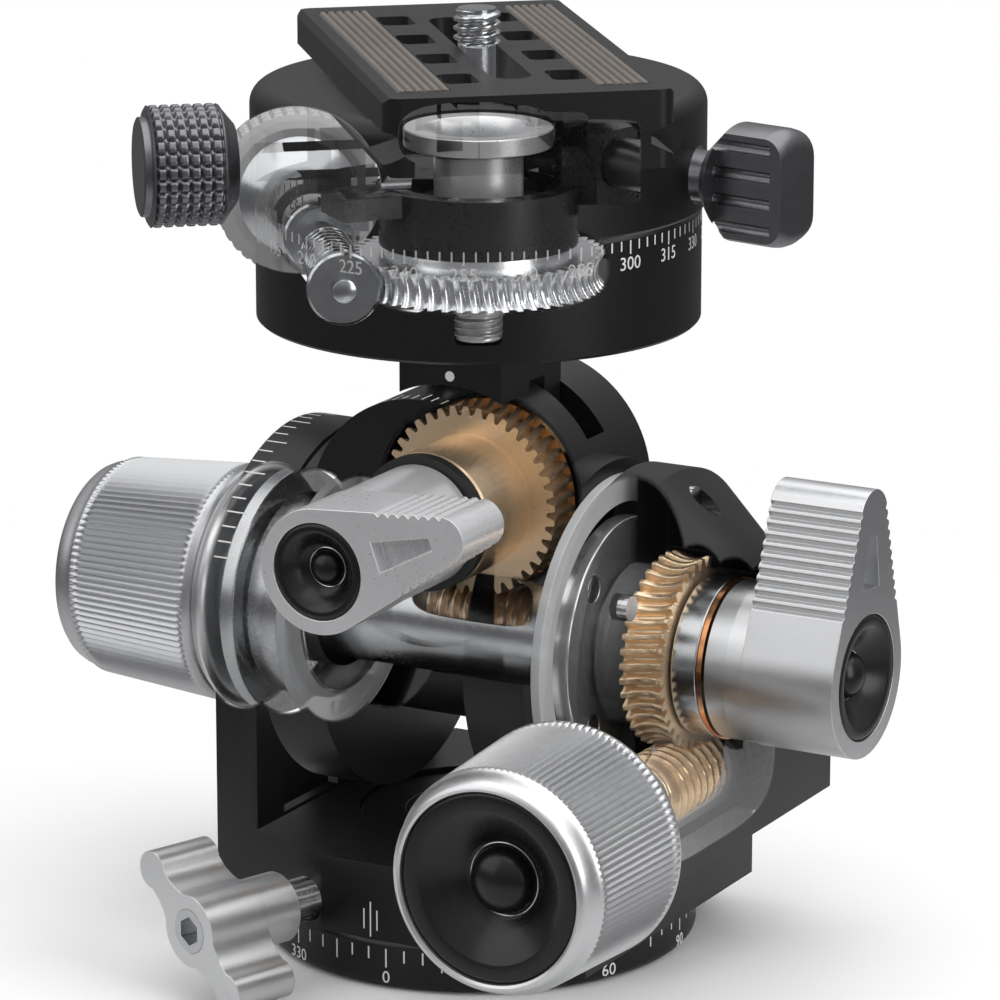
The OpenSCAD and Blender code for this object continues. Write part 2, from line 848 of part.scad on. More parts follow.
module knob_2() {
  color("#b4b6b9") at_worm_b() translate([0, -knob_2_y, 0]) rotate([90, 0, 0]) tilt_knob(0);
}

module knob_2_cap() {
  color("#161617") at_worm_b() translate([0, -knob_2_y - knob_len - knob_rim_len + knob_cap_t, 0])
    rotate([90, 0, 0]) dished_cap(knob_cap_r, knob_cap_t);
}

// Cradle
module cradle_frame() {
  color("#1a1a1c") difference() {
    union() {
      at_b() rod_x(-cradle_half, -cradle_inner, cradle_r);
      at_b() rod_x(cradle_inner, cradle_half, cradle_r);
      at_b() rod_x(-cradle_half, cradle_half, barrel_r);
      at_a() rod_y(-housing_a_front, housing_a_back, housing_a_r);
      span([-cradle_inner - over, cradle_inner + over], [-web_half, web_half], [axis_b_z, axis_a_z]);
    }
    at_b() rod_x(-cradle_half - over, sleeve_end, sleeve_r + seat_fit);
    at_a() rod_y(-gear_a_front - air, arm_slot_front, gear_room_r);
    at_a() rod_y(-housing_a_front - over, 0, shaft_a_hub_r + run_fit);
    at_a() rod_y(arm_slot_front - over, arm_slot_back, arm_disc_r + air);
    at_a() rod_y(0, housing_a_back + over, shaft_a_r + run_fit);
    at_a() rod_y(housing_a_back - rear_cover_t, housing_a_back + over, rear_cover_r + seat_fit);
    at_a() translate([0, arm_slot_back, 0]) rotate([90, 0, 0]) linear_extrude(arm_slot_back - arm_slot_front)
      polygon(concat([[0, 0]], arc(0, 0, 2 * housing_a_r, 90 - arm_open_angle, 90 + arm_open_angle, 8)));
  }
}

module cradle_rear_cover() {
  color("#242426") at_a() difference() {
    rod_y(housing_a_back - rear_cover_t, housing_a_back, rear_cover_r);
    rod_y(housing_a_back - rear_cover_t - over, housing_a_back + over, shaft_a_r + run_fit);
  }
}

module worm_a_sleeve() {
  color("#c3c5c8") difference() {
    at_b() rod_x(-cradle_half, sleeve_end, sleeve_r);
    at_b() rod_x(-cradle_half - over, sleeve_end - worm_bush_len, worm_room_r);
    at_b() rod_x(-cradle_half - over, sleeve_end + over, worm_shaft_r + run_fit);
    at_a() rod_y(-gear_a_front - air, arm_slot_front, gear_room_r);
    at_a() rod_y(arm_slot_front - over, arm_slot_back, arm_disc_r + air);
    at_a() rod_y(-housing_a_front - over, 0, shaft_a_hub_r + run_fit);
  }
}

module hollow_trunnion() {
  color("#a9abae") at_b() difference() {
    union() {
      rod_x(-bush_end, -cradle_half, trunnion_r);
      rod_x(-bush_end, -bush_end + flange_t, flange_r);
    }
    rod_x(-bush_end - over, -cradle_half + over, hollow_r);
  }
}

module worm_a_front_bush() {
  color("#b98a4a") at_b() difference() {
    rod_x(-bush_end, -cradle_half, hollow_r - seat_fit);
    rod_x(-bush_end - over, -cradle_half + over, worm_shaft_r + run_fit);
  }
}

module trunnion_shaft() {
  color("#c3c5c8") at_b() {
    rod_x(cradle_half, gear_room_end, shaft_b_r);
    rod_x(gear_room_end, lever_b_face - lever_cap_t - 2 * over, shaft_b_tip_r);
  }
}

module gear_b() {
  color("#d08a41") at_b() difference() {
    translate([gear_b_x, 0, 0]) rotate([90, 0, 90]) linear_extrude(gear_w) rotate(-90)
      gear_outline(tilt_teeth, tilt_pitch_r, gear_tip_r);
    rod_x(gear_b_x - over, gear_b_x + gear_w + over, shaft_b_r + seat_fit);
  }
}

module clamp_ring() {
  color("#c9cbce") at_b() difference() {
    rod_x(clamp_ring_x, clamp_ring_x + clamp_ring_len, lever_b_r);
    rod_x(clamp_ring_x - over, clamp_ring_x + clamp_ring_len + over, shaft_b_tip_r + seat_fit);
  }
}

module copper_washer() {
  color("#b4683a") at_b() difference() {
    rod_x(copper_x, copper_x + copper_t, lever_b_r);
    rod_x(copper_x - over, copper_x + copper_t + over, shaft_b_tip_r + seat_fit);
  }
}

module side_cover() {
  color("#d6d8da") at_b() difference() {
    rod_x(cradle_half, cradle_half + cover_t, cover_r);
    rod_x(cradle_half - over, cradle_half + cover_t + over, shaft_b_r + seat_fit);
    side_cover_places() rod_x(-screw_head_h, over, screw_head_r + run_fit);
  }
}

// Places of the side cover's screws, their heads level with its face
module side_cover_places() {
  for (a = [45:90:315])
    rotate([a, 0, 0]) translate([cradle_half + cover_t, cover_bolt_r, 0]) children();
}

module side_cover_screws() {
  color("#55575a") at_b() side_cover_places() rod_x(-screw_head_h, 0, screw_head_r);
}

module side_seal_ring() {
  color("#121213") at_b() difference() {
    rod_x(cradle_half, cradle_half + seal_b_t, seal_b_r);
    rod_x(cradle_half - over, cradle_half + seal_b_t + over, seal_b_in);
  }
}

module front_seal_ring() {
  color("#121213") at_a() difference() {
    rod_y(-housing_a_front, -housing_a_front + seal_a_t, shaft_a_hub_r);
    rod_y(-housing_a_front - over, 0, shaft_a_r + run_fit);
  }
}

// Lever 2 on the right trunnion shaft
module lever_b_frame() {
  at_b() rotate([-lever_b_lean, 0, 0]) rotate([0, 90, 0]) rotate([0, 0, 180]) children();
}

module lever_2() {
  color("#bcbec1") lever_b_frame()
    lever(
      lever_b_r, lever_b_tip_r, lever_b_reach, lever_b_x, lever_b_arm, lever_b_face,
      shaft_b_tip_r + run_fit, lever_b_cap_r, lever_b_grooves
    );
}

module lever_2_cap() {
  color("#161617") lever_b_frame() translate([0, 0, lever_b_face - lever_cap_t])
    dished_cap(lever_b_cap_r, lever_cap_t);
}

// Upper tilt drive
module worm_a() {
  color("#c9853f") at_b() rotate([0, 90, 0])
    worm(
      worm_thread_half, tilt_worm_r, 180,
      -knob_1_x - knob_back_h - knob_back_h / 2, sleeve_end, worm_shaft_r
    );
}

module knob_1() {
  color("#b4b6b9") at_b() translate([-knob_1_x, 0, 0]) rotate([0, -90, 0]) tilt_knob(knob_extra);
}

module knob_1_cap() {
  color("#161617") at_b() translate([-knob_1_x - knob_len - knob_rim_len + knob_cap_t, 0, 0])
    rotate([0, -90, 0]) dished_cap(knob_cap_r, knob_cap_t);
}

module knob_1_collar() {
  color("#c3c5c8") at_b() difference() {
    union() {
      rod_x(-knob_1_x, -knob_1_x + collar_len, collar_r);
      rod_x(-knob_1_x, -knob_1_x + collar_len + collar_neck_len, collar_neck_r);
    }
    rod_x(-knob_1_x - over, -knob_1_x + collar_len + collar_neck_len + over, worm_shaft_r + seat_fit);
  }
}

// Tilting head
module head_arm() {
  color("#1c1c1e") difference() {
    union() {
      difference() {
        span([-arm_half, arm_half], [-arm_front, arm_back], [axis_a_z + housing_a_r * 3 / 4, drum_z]);
        at_a() rod_y(-arm_front - over, arm_slot_front + over, block_arc_r);
        at_a() rod_y(arm_neck_back, arm_back + over, block_arc_r);
      }
      span([-arm_half, arm_half], [arm_neck_front, arm_neck_back], [axis_a_z, drum_z]);
      at_a() rod_y(arm_neck_front, arm_neck_back, arm_disc_r);
    }
    at_a() rod_y(0, arm_back + over, shaft_a_r + seat_fit);
    span([-arm_half - over, arm_half + over], [0, arm_neck_front], [axis_a_z, axis_a_z + housing_a_r]);
    rod_z(axle_stud_z - air, drum_z + over, axle_stud_r + seat_fit);
  }
}

module gear_a() {
  color("#d08a41") at_a() difference() {
    union() {
      translate([0, gear_w - gear_a_front, 0]) rotate([90, 0, 0]) linear_extrude(gear_w) rotate(-90)
        gear_outline(tilt_teeth, tilt_pitch_r, gear_tip_r);
      rod_y(-housing_a_front + seal_a_t + air, 0, shaft_a_hub_r);
    }
    rod_y(-housing_a_front - over, gear_w, shaft_a_r + seat_fit);
  }
}

module tilt_shaft() {
  color("#c3c5c8") at_a() {
    rod_y(-housing_a_front, housing_a_back, shaft_a_r);
    rod_y(-lever_a_face + lever_cap_t + 2 * over, -housing_a_front, shaft_a_tip_r);
  }
}

module bronze_washer() {
  color("#a9672f") at_a() difference() {
    rod_y(gear_w - gear_a_front, arm_neck_front, arm_disc_r);
    rod_y(0, arm_neck_front + over, shaft_a_r + seat_fit);
  }
}

module lower_drum() {
  color("#1c1c1e") difference() {
    union() {
      difference() {
        rotate_extrude() polygon([
          [0, drum_z], [drum_r - tip_chamfer, drum_z], [drum_r, drum_z + tip_chamfer],
          [drum_r, drum_top - tip_chamfer], [drum_r - tip_chamfer, drum_top], [0, drum_top]
        ]);
        rod_z(drum_z + drum_floor, drum_top + over, drum_room_r);
      }
      rod_z(drum_z, boss_top, pan_boss_r);
      intersection() {
        at_pan_worm() rod_x(pan_bush_start - pan_wall_half, pan_bush_end, pan_tube_r + pan_tube_r / 4);
        union() {
          rod_z(drum_z, drum_top - air, drum_r);
          rod_z(drum_z, tube_top, drum_r * 2);
        }
      }
    }
    at_pan_worm() rod_x(pan_worm_start - air, pan_bush_start + over, worm_head_r + air);
    at_pan_worm() rod_x(pan_bush_start, pan_bush_end + over, pan_tube_r + seat_fit);
    rod_z(drum_z + drum_floor, collar_top + over, axle_neck_r + seat_fit);
    rod_z(drum_z - over, drum_top, axle_stud_r + seat_fit);
  }
}

module axle_screw() {
  color("#c9cbce") difference() {
    union() {
      rod_z(axle_rim_z, axle_rim_top, axle_rim_r);
      rod_z(drum_z + drum_floor, axle_rim_z, axle_neck_r);
      rod_z(axle_stud_z, drum_z + drum_floor, axle_stud_r);
    }
    rotate_extrude() polygon([
      [0, axle_rim_top - funnel_depth], [funnel_low_r, axle_rim_top - funnel_depth],
      [funnel_r, axle_rim_top], [funnel_r, axle_rim_top + over], [0, axle_rim_top + over]
    ]);
  }
}

module pan_worm_bush() {
  color("#b98a4a") at_pan_worm() difference() {
    rod_x(pan_bush_start, pan_bush_end, pan_tube_r);
    rod_x(pan_bush_start - over, pan_bush_end + over, worm_neck_r + run_fit);
  }
}

// Lever 1 on the upper tilt's shaft
module lever_a_frame() {
  at_a() rotate([0, -lever_a_angle, 0]) rotate([90, 0, 0]) children();
}

module lever_1() {
  color("#bcbec1") lever_a_frame()
    lever(
      lever_a_r, lever_a_tip_r, lever_a_reach, housing_a_front + air, lever_a_arm, lever_a_face,
      shaft_a_tip_r + run_fit, lever_a_cap_r, lever_a_grooves
    );
}

module lever_1_cap() {
  color("#161617") lever_a_frame() translate([0, 0, lever_a_face - lever_cap_t])
    dished_cap(lever_a_cap_r, lever_cap_t);
}

// Pan drive
module pan_worm() {
  color("#c9cbce") at_pan_worm() rotate([0, 90, 0]) {
    worm(pan_worm_half, pan_worm_r, 270, pan_worm_start, pan_knob_start + pan_knob_neck, pan_shaft_r);
    rod_z(pan_worm_start, pan_worm_start + wheel_w / 2, worm_head_r);
    rod_z(pan_bush_start, pan_knob_start, worm_neck_r);
  }
}

module pan_knob() {
  color("#b4b6b9") at_pan_worm() difference() {
    rotate([0, 90, 0]) rotate_extrude() polygon([
      [0, pan_knob_start], [pan_knob_r - pan_knob_bevel, pan_knob_start], [pan_knob_r, pan_knob_start + pan_knob_bevel],
      [pan_knob_r, pan_knob_start + pan_knob_len - pan_knob_bevel],
      [pan_knob_r - pan_knob_bevel, pan_knob_start + pan_knob_len], [0, pan_knob_start + pan_knob_len]
    ]);
    rod_x(pan_knob_start - over, pan_knob_start + pan_knob_neck, pan_shaft_r + seat_fit);
  }
}

// Side profile of the dovetail channel on one side: room for the plate, from the channel's floor up
module channel_profile(extra) {
  half = qr_w / 2 + extra;
  polygon([
    [0, channel_z], [half, channel_z], [half, dovetail_z + extra / 2],
    [half - groove_depth, dovetail_z + groove_depth / 2 + extra / 2],
    [half - groove_depth, lip_z - groove_flat - air], [half - qr_edge, lip_z - air],
    [half, lip_z + over + extra], [0, lip_z + over + extra]
  ]);
}

module channel_cut(side, extra, len) {
  plate_frame() translate([0, len / 2, 0]) rotate([90, 0, 0]) linear_extrude(len)
    scale([side, 1]) channel_profile(extra);
}

module upper_housing() {
  color("#1c1c1e") difference() {
    rotate_extrude() polygon(concat(
      [[0, top_z], [top_r - tip_chamfer, top_z], [top_r, top_z + tip_chamfer]],
      arc(top_r - top_edge_r, top_top - top_edge_r, top_edge_r, 0, 90, 8), [[0, top_top]]
    ));
    channel_cut(1, air / 2, 3 * top_r);
    plate_frame() span([-2 * top_r, 0], [-2 * top_r, 2 * top_r], [channel_z, top_top + over]);
    plate_frame() span([-2 * top_r, -jaw_face + air], [-2 * top_r, 2 * top_r], [jaw_z - air, top_top + over]);
    rod_z(top_z - over, web_z, split_r + air);
    rod_z(web_z - over, top_top, axle_neck_r + run_fit);
    rod_z(axle_rim_z - run_fit, top_top, axle_rim_r + rim_room);
    rotate([0, 0, lug_azimuth]) span([0, lug_reach + air], [-lug_half - air, lug_half + air], [top_z - over, web_z]);
    lock_frame() span(
      [ear_second - air, ear_first_end + air], [-ear_half - air, ear_half + air],
      [top_z - lock_z - over, ear_z + air - lock_z]
    );
    lock_frame() rod_x(0, 2 * top_r, lock_bore_r);
    plate_frame() translate([0, 0, clamp_z]) rod_x(-2 * top_r, -clamp_screw_in, clamp_screw_r + seat_fit);
    plate_frame() for (s = [-1, 1]) translate([0, s * pin_v, pin_z]) rod_x(-2 * top_r, -pin_in, pin_r + seat_fit);
  }
}

module pan_worm_wheel() {
  color("#d9dbdd") difference() {
    union() {
      translate([0, 0, wheel_z]) linear_extrude(wheel_w) rotate(pan_worm_azimuth + 90)
        gear_outline(pan_teeth, pan_pitch_r, wheel_tip_r);
      rod_z(wheel_z, wheel_hub_z, wheel_hub_r);
    }
    rod_z(wheel_z - over, wheel_hub_z + over, split_in);
  }
}

module split_collar() {
  color("#19191b") difference() {
    union() {
      rod_z(collar_z, collar_top, split_r);
      rotate([0, 0, lug_azimuth]) span([split_r - over, lug_reach], [-lug_half, lug_half], [web_z - lug_t, web_z]);
      lock_frame() span([ear_first, ear_first_end], [-ear_half, ear_half], [collar_z + collar_h / 2 - lock_z, ear_z - lock_z]);
      lock_frame() span([ear_second, ear_second_end], [-ear_half, ear_half], [collar_z + collar_h / 2 - lock_z, ear_z - lock_z]);
    }
    rod_z(collar_z - over, web_z, split_in);
    rod_z(web_z, ear_z + over, axle_rim_r + rim_room + air);
    lock_frame() span([ear_second_end, ear_first], [-ear_half * 2, ear_half * 2], [collar_z - lock_z - over, ear_z - lock_z + over]);
    lock_frame() rod_x(0, ear_first_end + over, lock_tip_r + run_fit);
    lug_places() rod_z(-lug_t - over, over, screw_r + seat_fit);
  }
}

// Places of the two screws in the collar's lug
module lug_places() {
  for (s = [-1, 1])
    rotate([0, 0, lug_azimuth]) translate([lug_bolt, s * lug_bolt_half, web_z]) children();
}

module collar_screws() {
  color("#8a8c8f") lug_places() {
    rod_z(-lug_t, 0, screw_r);
    rod_z(-lug_t - screw_head_h, -lug_t, screw_head_r);
  }
}

// Pan lock
module lock_screw() {
  color("#3a3a3c") lock_frame() {
    rod_x(lock_start, ear_first_end + air + over, lock_tip_r);
    rod_x(ear_first_end + air, lock_near + lock_seat, lock_shaft_r);
  }
}

module lock_knob() {
  color("#77797c") lock_frame() difference() {
    rotate([0, 90, 0]) rotate_extrude() polygon(concat(
      [[0, lock_near], [lock_neck_r, lock_near], [lock_knob_r, lock_near + lock_bevel]],
      arc(lock_knob_r - lock_round, lock_far - lock_round, lock_round, 0, 90, 6), [[0, lock_far]]
    ));
    for (s = [-1, 1]) {
      span(
        [lock_near + lock_seat, lock_far + over],
        [min(s * lock_flat, s * (lock_knob_r + over)), max(s * lock_flat, s * (lock_knob_r + over))],
        [-lock_knob_r - over, lock_knob_r + over]
      );
      for (i = [0:lock_grooves - 1])
        translate([0, s * (lock_flat + lock_groove_out), (i - (lock_grooves - 1) / 2) * lock_groove_pitch])
          rod_x(lock_near, lock_far - lock_groove_in, lock_groove_r);
    }
    rod_x(lock_near - over, lock_near + lock_seat, lock_shaft_r + seat_fit);
  }
}

// Clamp
module jaw_screw() {
  color("#c3c5c8") plate_frame() translate([0, 0, clamp_z]) rod_x(-clamp_end + jaw_travel, -clamp_screw_in, clamp_screw_r);
}

module jaw_guide_pins() {
  color("#c3c5c8") plate_frame() for (s = [-1, 1]) translate([0, s * pin_v, pin_z]) rod_x(-pin_out + jaw_travel, -pin_in, pin_r);
}

module clamp_jaw() {
  nose = qr_w / 2 - groove_depth + nose_in;
  color("#1c1c1e") difference() {
    intersection() {
      rotate_extrude() polygon(concat(
        [[0, jaw_z], [top_r, jaw_z]],
        arc(top_r - top_edge_r, top_top - top_edge_r, top_edge_r, 0, 90, 8), [[0, top_top]]
      ));
      plate_frame() translate([0, 2 * top_r, 0]) rotate([90, 0, 0]) linear_extrude(4 * top_r)
        polygon([
          [-jaw_face, jaw_z], [-jaw_face, dovetail_z + nose_in], [-nose, dovetail_z + groove_depth / 2 + nose_in],
          [-nose, lip_z - groove_flat - nose_in], [qr_edge - nose_in - qr_w / 2, lip_z - nose_in],
          [-jaw_face, top_top], [-2 * top_r, top_top], [-2 * top_r, jaw_z]
        ]);
    }
    plate_frame() translate([0, 0, clamp_z]) rod_x(-2 * top_r, 0, clamp_screw_r + run_fit);
    plate_frame() for (s = [-1, 1]) translate([0, s * pin_v, pin_z]) rod_x(-pin_out - jaw_travel, 0, pin_r + run_fit);
    rotate([0, 0, lug_azimuth])
      span([0, lug_reach + air], [-lug_half - lug_room, lug_half + lug_room], [jaw_z - over, web_z + air]);
  }
}

module clamp_knob() {
  color("#8f9194") plate_frame() translate([0, 0, clamp_z]) difference() {
    rotate([0, -90, 0]) rotate_extrude() polygon([
      [0, clamp_near], [clamp_neck_r, clamp_near], [clamp_cone_r, clamp_near + clamp_neck_len],
      [clamp_knob_r, clamp_near + clamp_neck_len], [clamp_knob_r, clamp_end], [clamp_cap_r, clamp_cap], [0, clamp_cap]
    ]);
    rod_x(-clamp_end + over / 2, -clamp_near + over, clamp_screw_r + run_fit);
  }
}

// Quick plate
module qr_profile() {
  half = qr_w / 2;
  polygon([
    [-half + qr_edge, qr_z], [half - qr_edge, qr_z], [half, qr_z + qr_edge], [half, dovetail_z],
    [half - groove_depth, dovetail_z + groove_depth / 2], [half - groove_depth, lip_z - groove_flat],
    [half - qr_edge, lip_z], [half, lip_z], [half, qr_top - qr_edge], [half - qr_edge, qr_top],
    [-half + qr_edge, qr_top], [-half, qr_top - qr_edge], [-half, lip_z], [-half + qr_edge, lip_z],
    [-half + groove_depth, lip_z - groove_flat], [-half + groove_depth, dovetail_z + groove_depth / 2],
    [-half, dovetail_z], [-half, qr_z + qr_edge]
  ]);
}

// Rounded rectangle with its corners as quarter circles
module round_rect(w, h, r) {
  square([w - 2 * r, h], center = true);
  square([w, h - 2 * r], center = true);
  for (sx = [-1, 1], sy = [-1, 1]) translate([sx * (w / 2 - r), sy * (h / 2 - r)]) circle(r = r);
}

module quick_plate() {
  color("#1e1e20") plate_frame() difference() {
    intersection() {
      translate([0, qr_len / 2, 0]) rotate([90, 0, 0]) linear_extrude(qr_len) qr_profile();
      translate([0, 0, qr_z]) linear_extrude(qr_h) round_rect(qr_w, qr_len, qr_corner_r);
    }
    for (su = [-1, 1], k = [-2, -1, 1, 2])
      translate([su * window_u, sign(k) * (window_v + window_step * (abs(k) - 1)), qr_z - over])
        linear_extrude(qr_h + 2 * over) round_rect(window_w, window_len, over);
    translate([0, 0, qr_z - over]) linear_extrude(qr_h + 2 * over) round_rect(2 * slot_half, 2 * slot_end, slot_half - seat_fit);
    translate([0, 0, qr_z - over]) linear_extrude(slot_low_z - qr_z + over)
      round_rect(2 * slot_low_half, 2 * (slot_end + slot_low_half - slot_half), slot_low_half - seat_fit);
    for (s = [-1, 1])
      span([min(s * pad_in, s * pad_out), max(s * pad_in, s * pad_out)], [-pad_end, pad_end], [qr_top - pad_sink, qr_top + over]);
  }
}

module plate_pads() {
  color("#8b857c") plate_frame() for (s = [-1, 1])
    span(
      [min(s * pad_in, s * pad_out) + seat_fit, max(s * pad_in, s * pad_out) - seat_fit],
      [-pad_end + seat_fit, pad_end - seat_fit], [qr_top - pad_sink, qr_top - pad_sink + pad_t]
    );
}

module screw_washer() {
  color("#b9bbbe") plate_frame() translate([0, screw_v, 0]) difference() {
    rod_z(washer_z, washer_z + washer_t, camera_head_r);
    rod_z(washer_z - over, washer_z + washer_t + over, neck_r + air / 2);
  }
}

module camera_screw() {
  color("#d3d5d8") plate_frame() translate([0, screw_v, 0]) {
    rod_z(camera_head_low, washer_z - air / 3, camera_head_r);
    rod_z(camera_head_low, qr_top + over / 2, neck_r);
    rod_z(qr_top + over / 3, qr_top + camera_screw_h, camera_screw_r);
  }
}

base_disc();
pan_retaining_ring();
fork_frame();
gear_b_housing();
housing_screws();
pan_brake_pad();
left_trunnion_bush();
right_trunnion_bush();
left_thrust_washer();
worm_b_bushes();
worm_b_end_cap();
wing_knob();
wing_bolt();
worm_b();
knob_2();
knob_2_cap();
cradle_frame();
cradle_rear_cover();
worm_a_sleeve();
hollow_trunnion();
worm_a_front_bush();
trunnion_shaft();
gear_b();
clamp_ring();
copper_washer();
side_cover();
side_cover_screws();
side_seal_ring();
front_seal_ring();
lever_2();
lever_2_cap();
worm_a();
knob_1();
knob_1_collar();
knob_1_cap();
head_arm();
gear_a();
tilt_shaft();
bronze_washer();
lower_drum();
axle_screw();
pan_worm_bush();
lever_1();
lever_1_cap();
pan_worm();
pan_knob();
upper_housing();
pan_worm_wheel();
split_collar();
collar_screws();
jaw_screw();
jaw_guide_pins();
lock_screw();
lock_knob();
clamp_jaw();
clamp_knob();
quick_plate();
plate_pads();
screw_washer();
camera_screw();
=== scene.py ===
# %% [markdown]
# # A geared tripod head, dressed
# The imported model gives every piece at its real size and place. This script gives each piece its
# finish, rebuilds the turned and toothed pieces as fine surfaces, and prints the scales on the dials.

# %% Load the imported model
import json
import bpy
import bmesh
import numpy as np
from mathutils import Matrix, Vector

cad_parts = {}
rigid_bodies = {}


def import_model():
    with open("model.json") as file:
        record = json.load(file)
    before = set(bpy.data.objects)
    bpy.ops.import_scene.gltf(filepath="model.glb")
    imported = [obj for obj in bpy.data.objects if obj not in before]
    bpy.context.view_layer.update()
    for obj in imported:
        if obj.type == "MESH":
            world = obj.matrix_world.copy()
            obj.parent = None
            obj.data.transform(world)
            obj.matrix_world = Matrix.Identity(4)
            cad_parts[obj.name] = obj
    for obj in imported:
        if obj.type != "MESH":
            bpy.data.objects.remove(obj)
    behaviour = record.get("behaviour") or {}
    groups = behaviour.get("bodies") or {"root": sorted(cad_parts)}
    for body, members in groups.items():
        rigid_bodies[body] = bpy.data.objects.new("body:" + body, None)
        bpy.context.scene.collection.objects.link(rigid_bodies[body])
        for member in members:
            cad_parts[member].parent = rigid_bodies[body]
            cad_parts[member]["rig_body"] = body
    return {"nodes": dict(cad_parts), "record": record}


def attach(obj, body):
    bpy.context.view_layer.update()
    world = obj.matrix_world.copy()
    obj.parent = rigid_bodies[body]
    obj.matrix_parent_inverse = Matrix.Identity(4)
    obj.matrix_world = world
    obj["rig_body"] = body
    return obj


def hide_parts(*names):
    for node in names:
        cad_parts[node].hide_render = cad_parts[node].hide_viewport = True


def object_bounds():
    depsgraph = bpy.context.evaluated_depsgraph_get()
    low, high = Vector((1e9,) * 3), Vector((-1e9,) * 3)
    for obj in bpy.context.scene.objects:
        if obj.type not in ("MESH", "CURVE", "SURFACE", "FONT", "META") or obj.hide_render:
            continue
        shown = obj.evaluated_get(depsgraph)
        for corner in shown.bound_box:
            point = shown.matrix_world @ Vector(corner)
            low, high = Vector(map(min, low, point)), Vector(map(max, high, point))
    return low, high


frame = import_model()
cad_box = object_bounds()
MM = 0.001
TURN = 2 * np.pi

# %% [markdown]
# ## Places
# A turned piece needs an origin, an axis and a direction that its angles start from. Each place below
# is such a triple, in millimetres, so a profile can be written in the piece's own measures. AXIS_B and
# AXIS_A are the heights of the lower and the upper tilt axis, and EYE is where the camera stands.

# %% Places of the turned pieces
UP = np.array([0.0, 0.0, 1.0])


def compass(degrees):
    """Level unit vector at an azimuth, counted from +X towards +Y."""
    a = np.radians(degrees)
    return np.array([np.cos(a), np.sin(a), 0.0])


def place(origin, axis, start=UP):
    """Origin, start direction, cross direction and axis, all at right angles, right-handed."""
    axis = np.asarray(axis, float) / np.linalg.norm(axis)
    start = np.asarray(start, float) - axis * np.dot(start, axis)
    start /= np.linalg.norm(start)
    return np.asarray(origin, float), start, np.cross(axis, start), axis


AXIS_B, AXIS_A, WORM_B = 43.6, 60.8, (31.5, 0, 26.4)
EYE = np.array([344.7, -622.5, 250.2])
PLATE_AZ, PAN_WORM_AZ, LOCK_AZ = 40.3, 126.3, -10.0
PAN_CENTRE, WORM_Z = 19.32, 92.6
BASE_R, DRUM_R, WALL_R, ROOF_R = 30.0, 29.9, 25.0, 17.0
KNOB_1_FACE, KNOB_2_FACE, LEVER_1_FACE, LEVER_2_FACE = 59.6, 54.6, 43.2, 58.3
AT_PAN = place((0, 0, 0), UP, compass(0))
AT_B = place((0, 0, AXIS_B), (1, 0, 0))
AT_A = place((0, 0, AXIS_A), (0, -1, 0))
AT_KNOB_1 = place((0, 0, AXIS_B), (-1, 0, 0))
AT_KNOB_2 = place(WORM_B, (0, -1, 0))
AT_PAN_WORM = place(compass(PAN_WORM_AZ + 90) * PAN_CENTRE + UP * WORM_Z, compass(PAN_WORM_AZ))
AT_CLAMP = place(UP * 108.2, -compass(PLATE_AZ))
AT_PLATE = place((0, 0, 0), UP, compass(PLATE_AZ))
AT_SCREW = place(compass(PLATE_AZ + 90) * 1.0, UP, compass(PLATE_AZ))


def points(where, a, b, c):
    """Places a, b and c along the start, cross and axis directions, in metres."""
    origin, start, cross, axis = where
    return (origin + a[..., None] * start + b[..., None] * cross + c[..., None] * axis) * MM


# %% [markdown]
# ## Making surfaces
# A shape is a grid of points worked out at once with numpy. Rows run along the piece and columns run
# around it. A row whose points all meet on the axis is a pole, which merging closes.

# %% Grid to mesh
SHARP = np.radians(38)


def finish_mesh(name, bm, body, replaced, material, smooth=True):
    """Welds, turns the faces outwards, keeps edges past 38 degrees crisp and hands the piece over."""
    bmesh.ops.remove_doubles(bm, verts=bm.verts, dist=2e-7)
    bmesh.ops.dissolve_degenerate(bm, edges=bm.edges, dist=1e-8)
    bmesh.ops.recalc_face_normals(bm, faces=bm.faces)
    for face in bm.faces:
        face.smooth = smooth
    for edge in bm.edges:
        edge.smooth = len(edge.link_faces) != 2 or edge.calc_face_angle(0) < SHARP
    mesh = bpy.data.meshes.new(name)
    bm.to_mesh(mesh)
    bm.free()
    return hand_over(bpy.data.objects.new(name, mesh), body, replaced, material)


def hand_over(piece, body, replaced, material):
    """Links a piece, gives it its material, and lets it ride in place of its CAD node."""
    bpy.context.scene.collection.objects.link(piece)
    piece.data.materials.clear()
    piece.data.materials.append(material)
    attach(piece, body)
    if replaced:
        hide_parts(*replaced)
    return piece


def grid_mesh(grid, closed_rows=False):
    """Mesh of a grid of points: columns always wrap, rows wrap only when asked."""
    rows, columns = grid.shape[:2]
    index = np.arange(rows * columns).reshape(rows, columns)
    if closed_rows:
        index = np.vstack([index, index[:1]])
    right = np.roll(index, -1, axis=1)
    quads = np.stack([index[:-1], right[:-1], right[1:], index[1:]], axis=-1).reshape(-1, 4)
    mesh = bpy.data.meshes.new("grid")
    mesh.from_pydata(grid.reshape(-1, 3).tolist(), [], quads.tolist())
    bm = bmesh.new()
    bm.from_mesh(mesh)
    bpy.data.meshes.remove(mesh)
    return bm


def finer(profile, step):
    """Adds points along a profile so that none lie more than step apart; corners stay."""
    profile = np.asarray(profile, float)
    lengths = np.linalg.norm(np.diff(profile, axis=0), axis=1)
    counts = np.maximum(1, np.ceil(lengths / step)).astype(int)
    parts = [a + (b - a) * (np.arange(n) / n)[:, None] for a, b, n in zip(profile[:-1], profile[1:], counts)]
    return np.vstack(parts + [profile[-1:]])


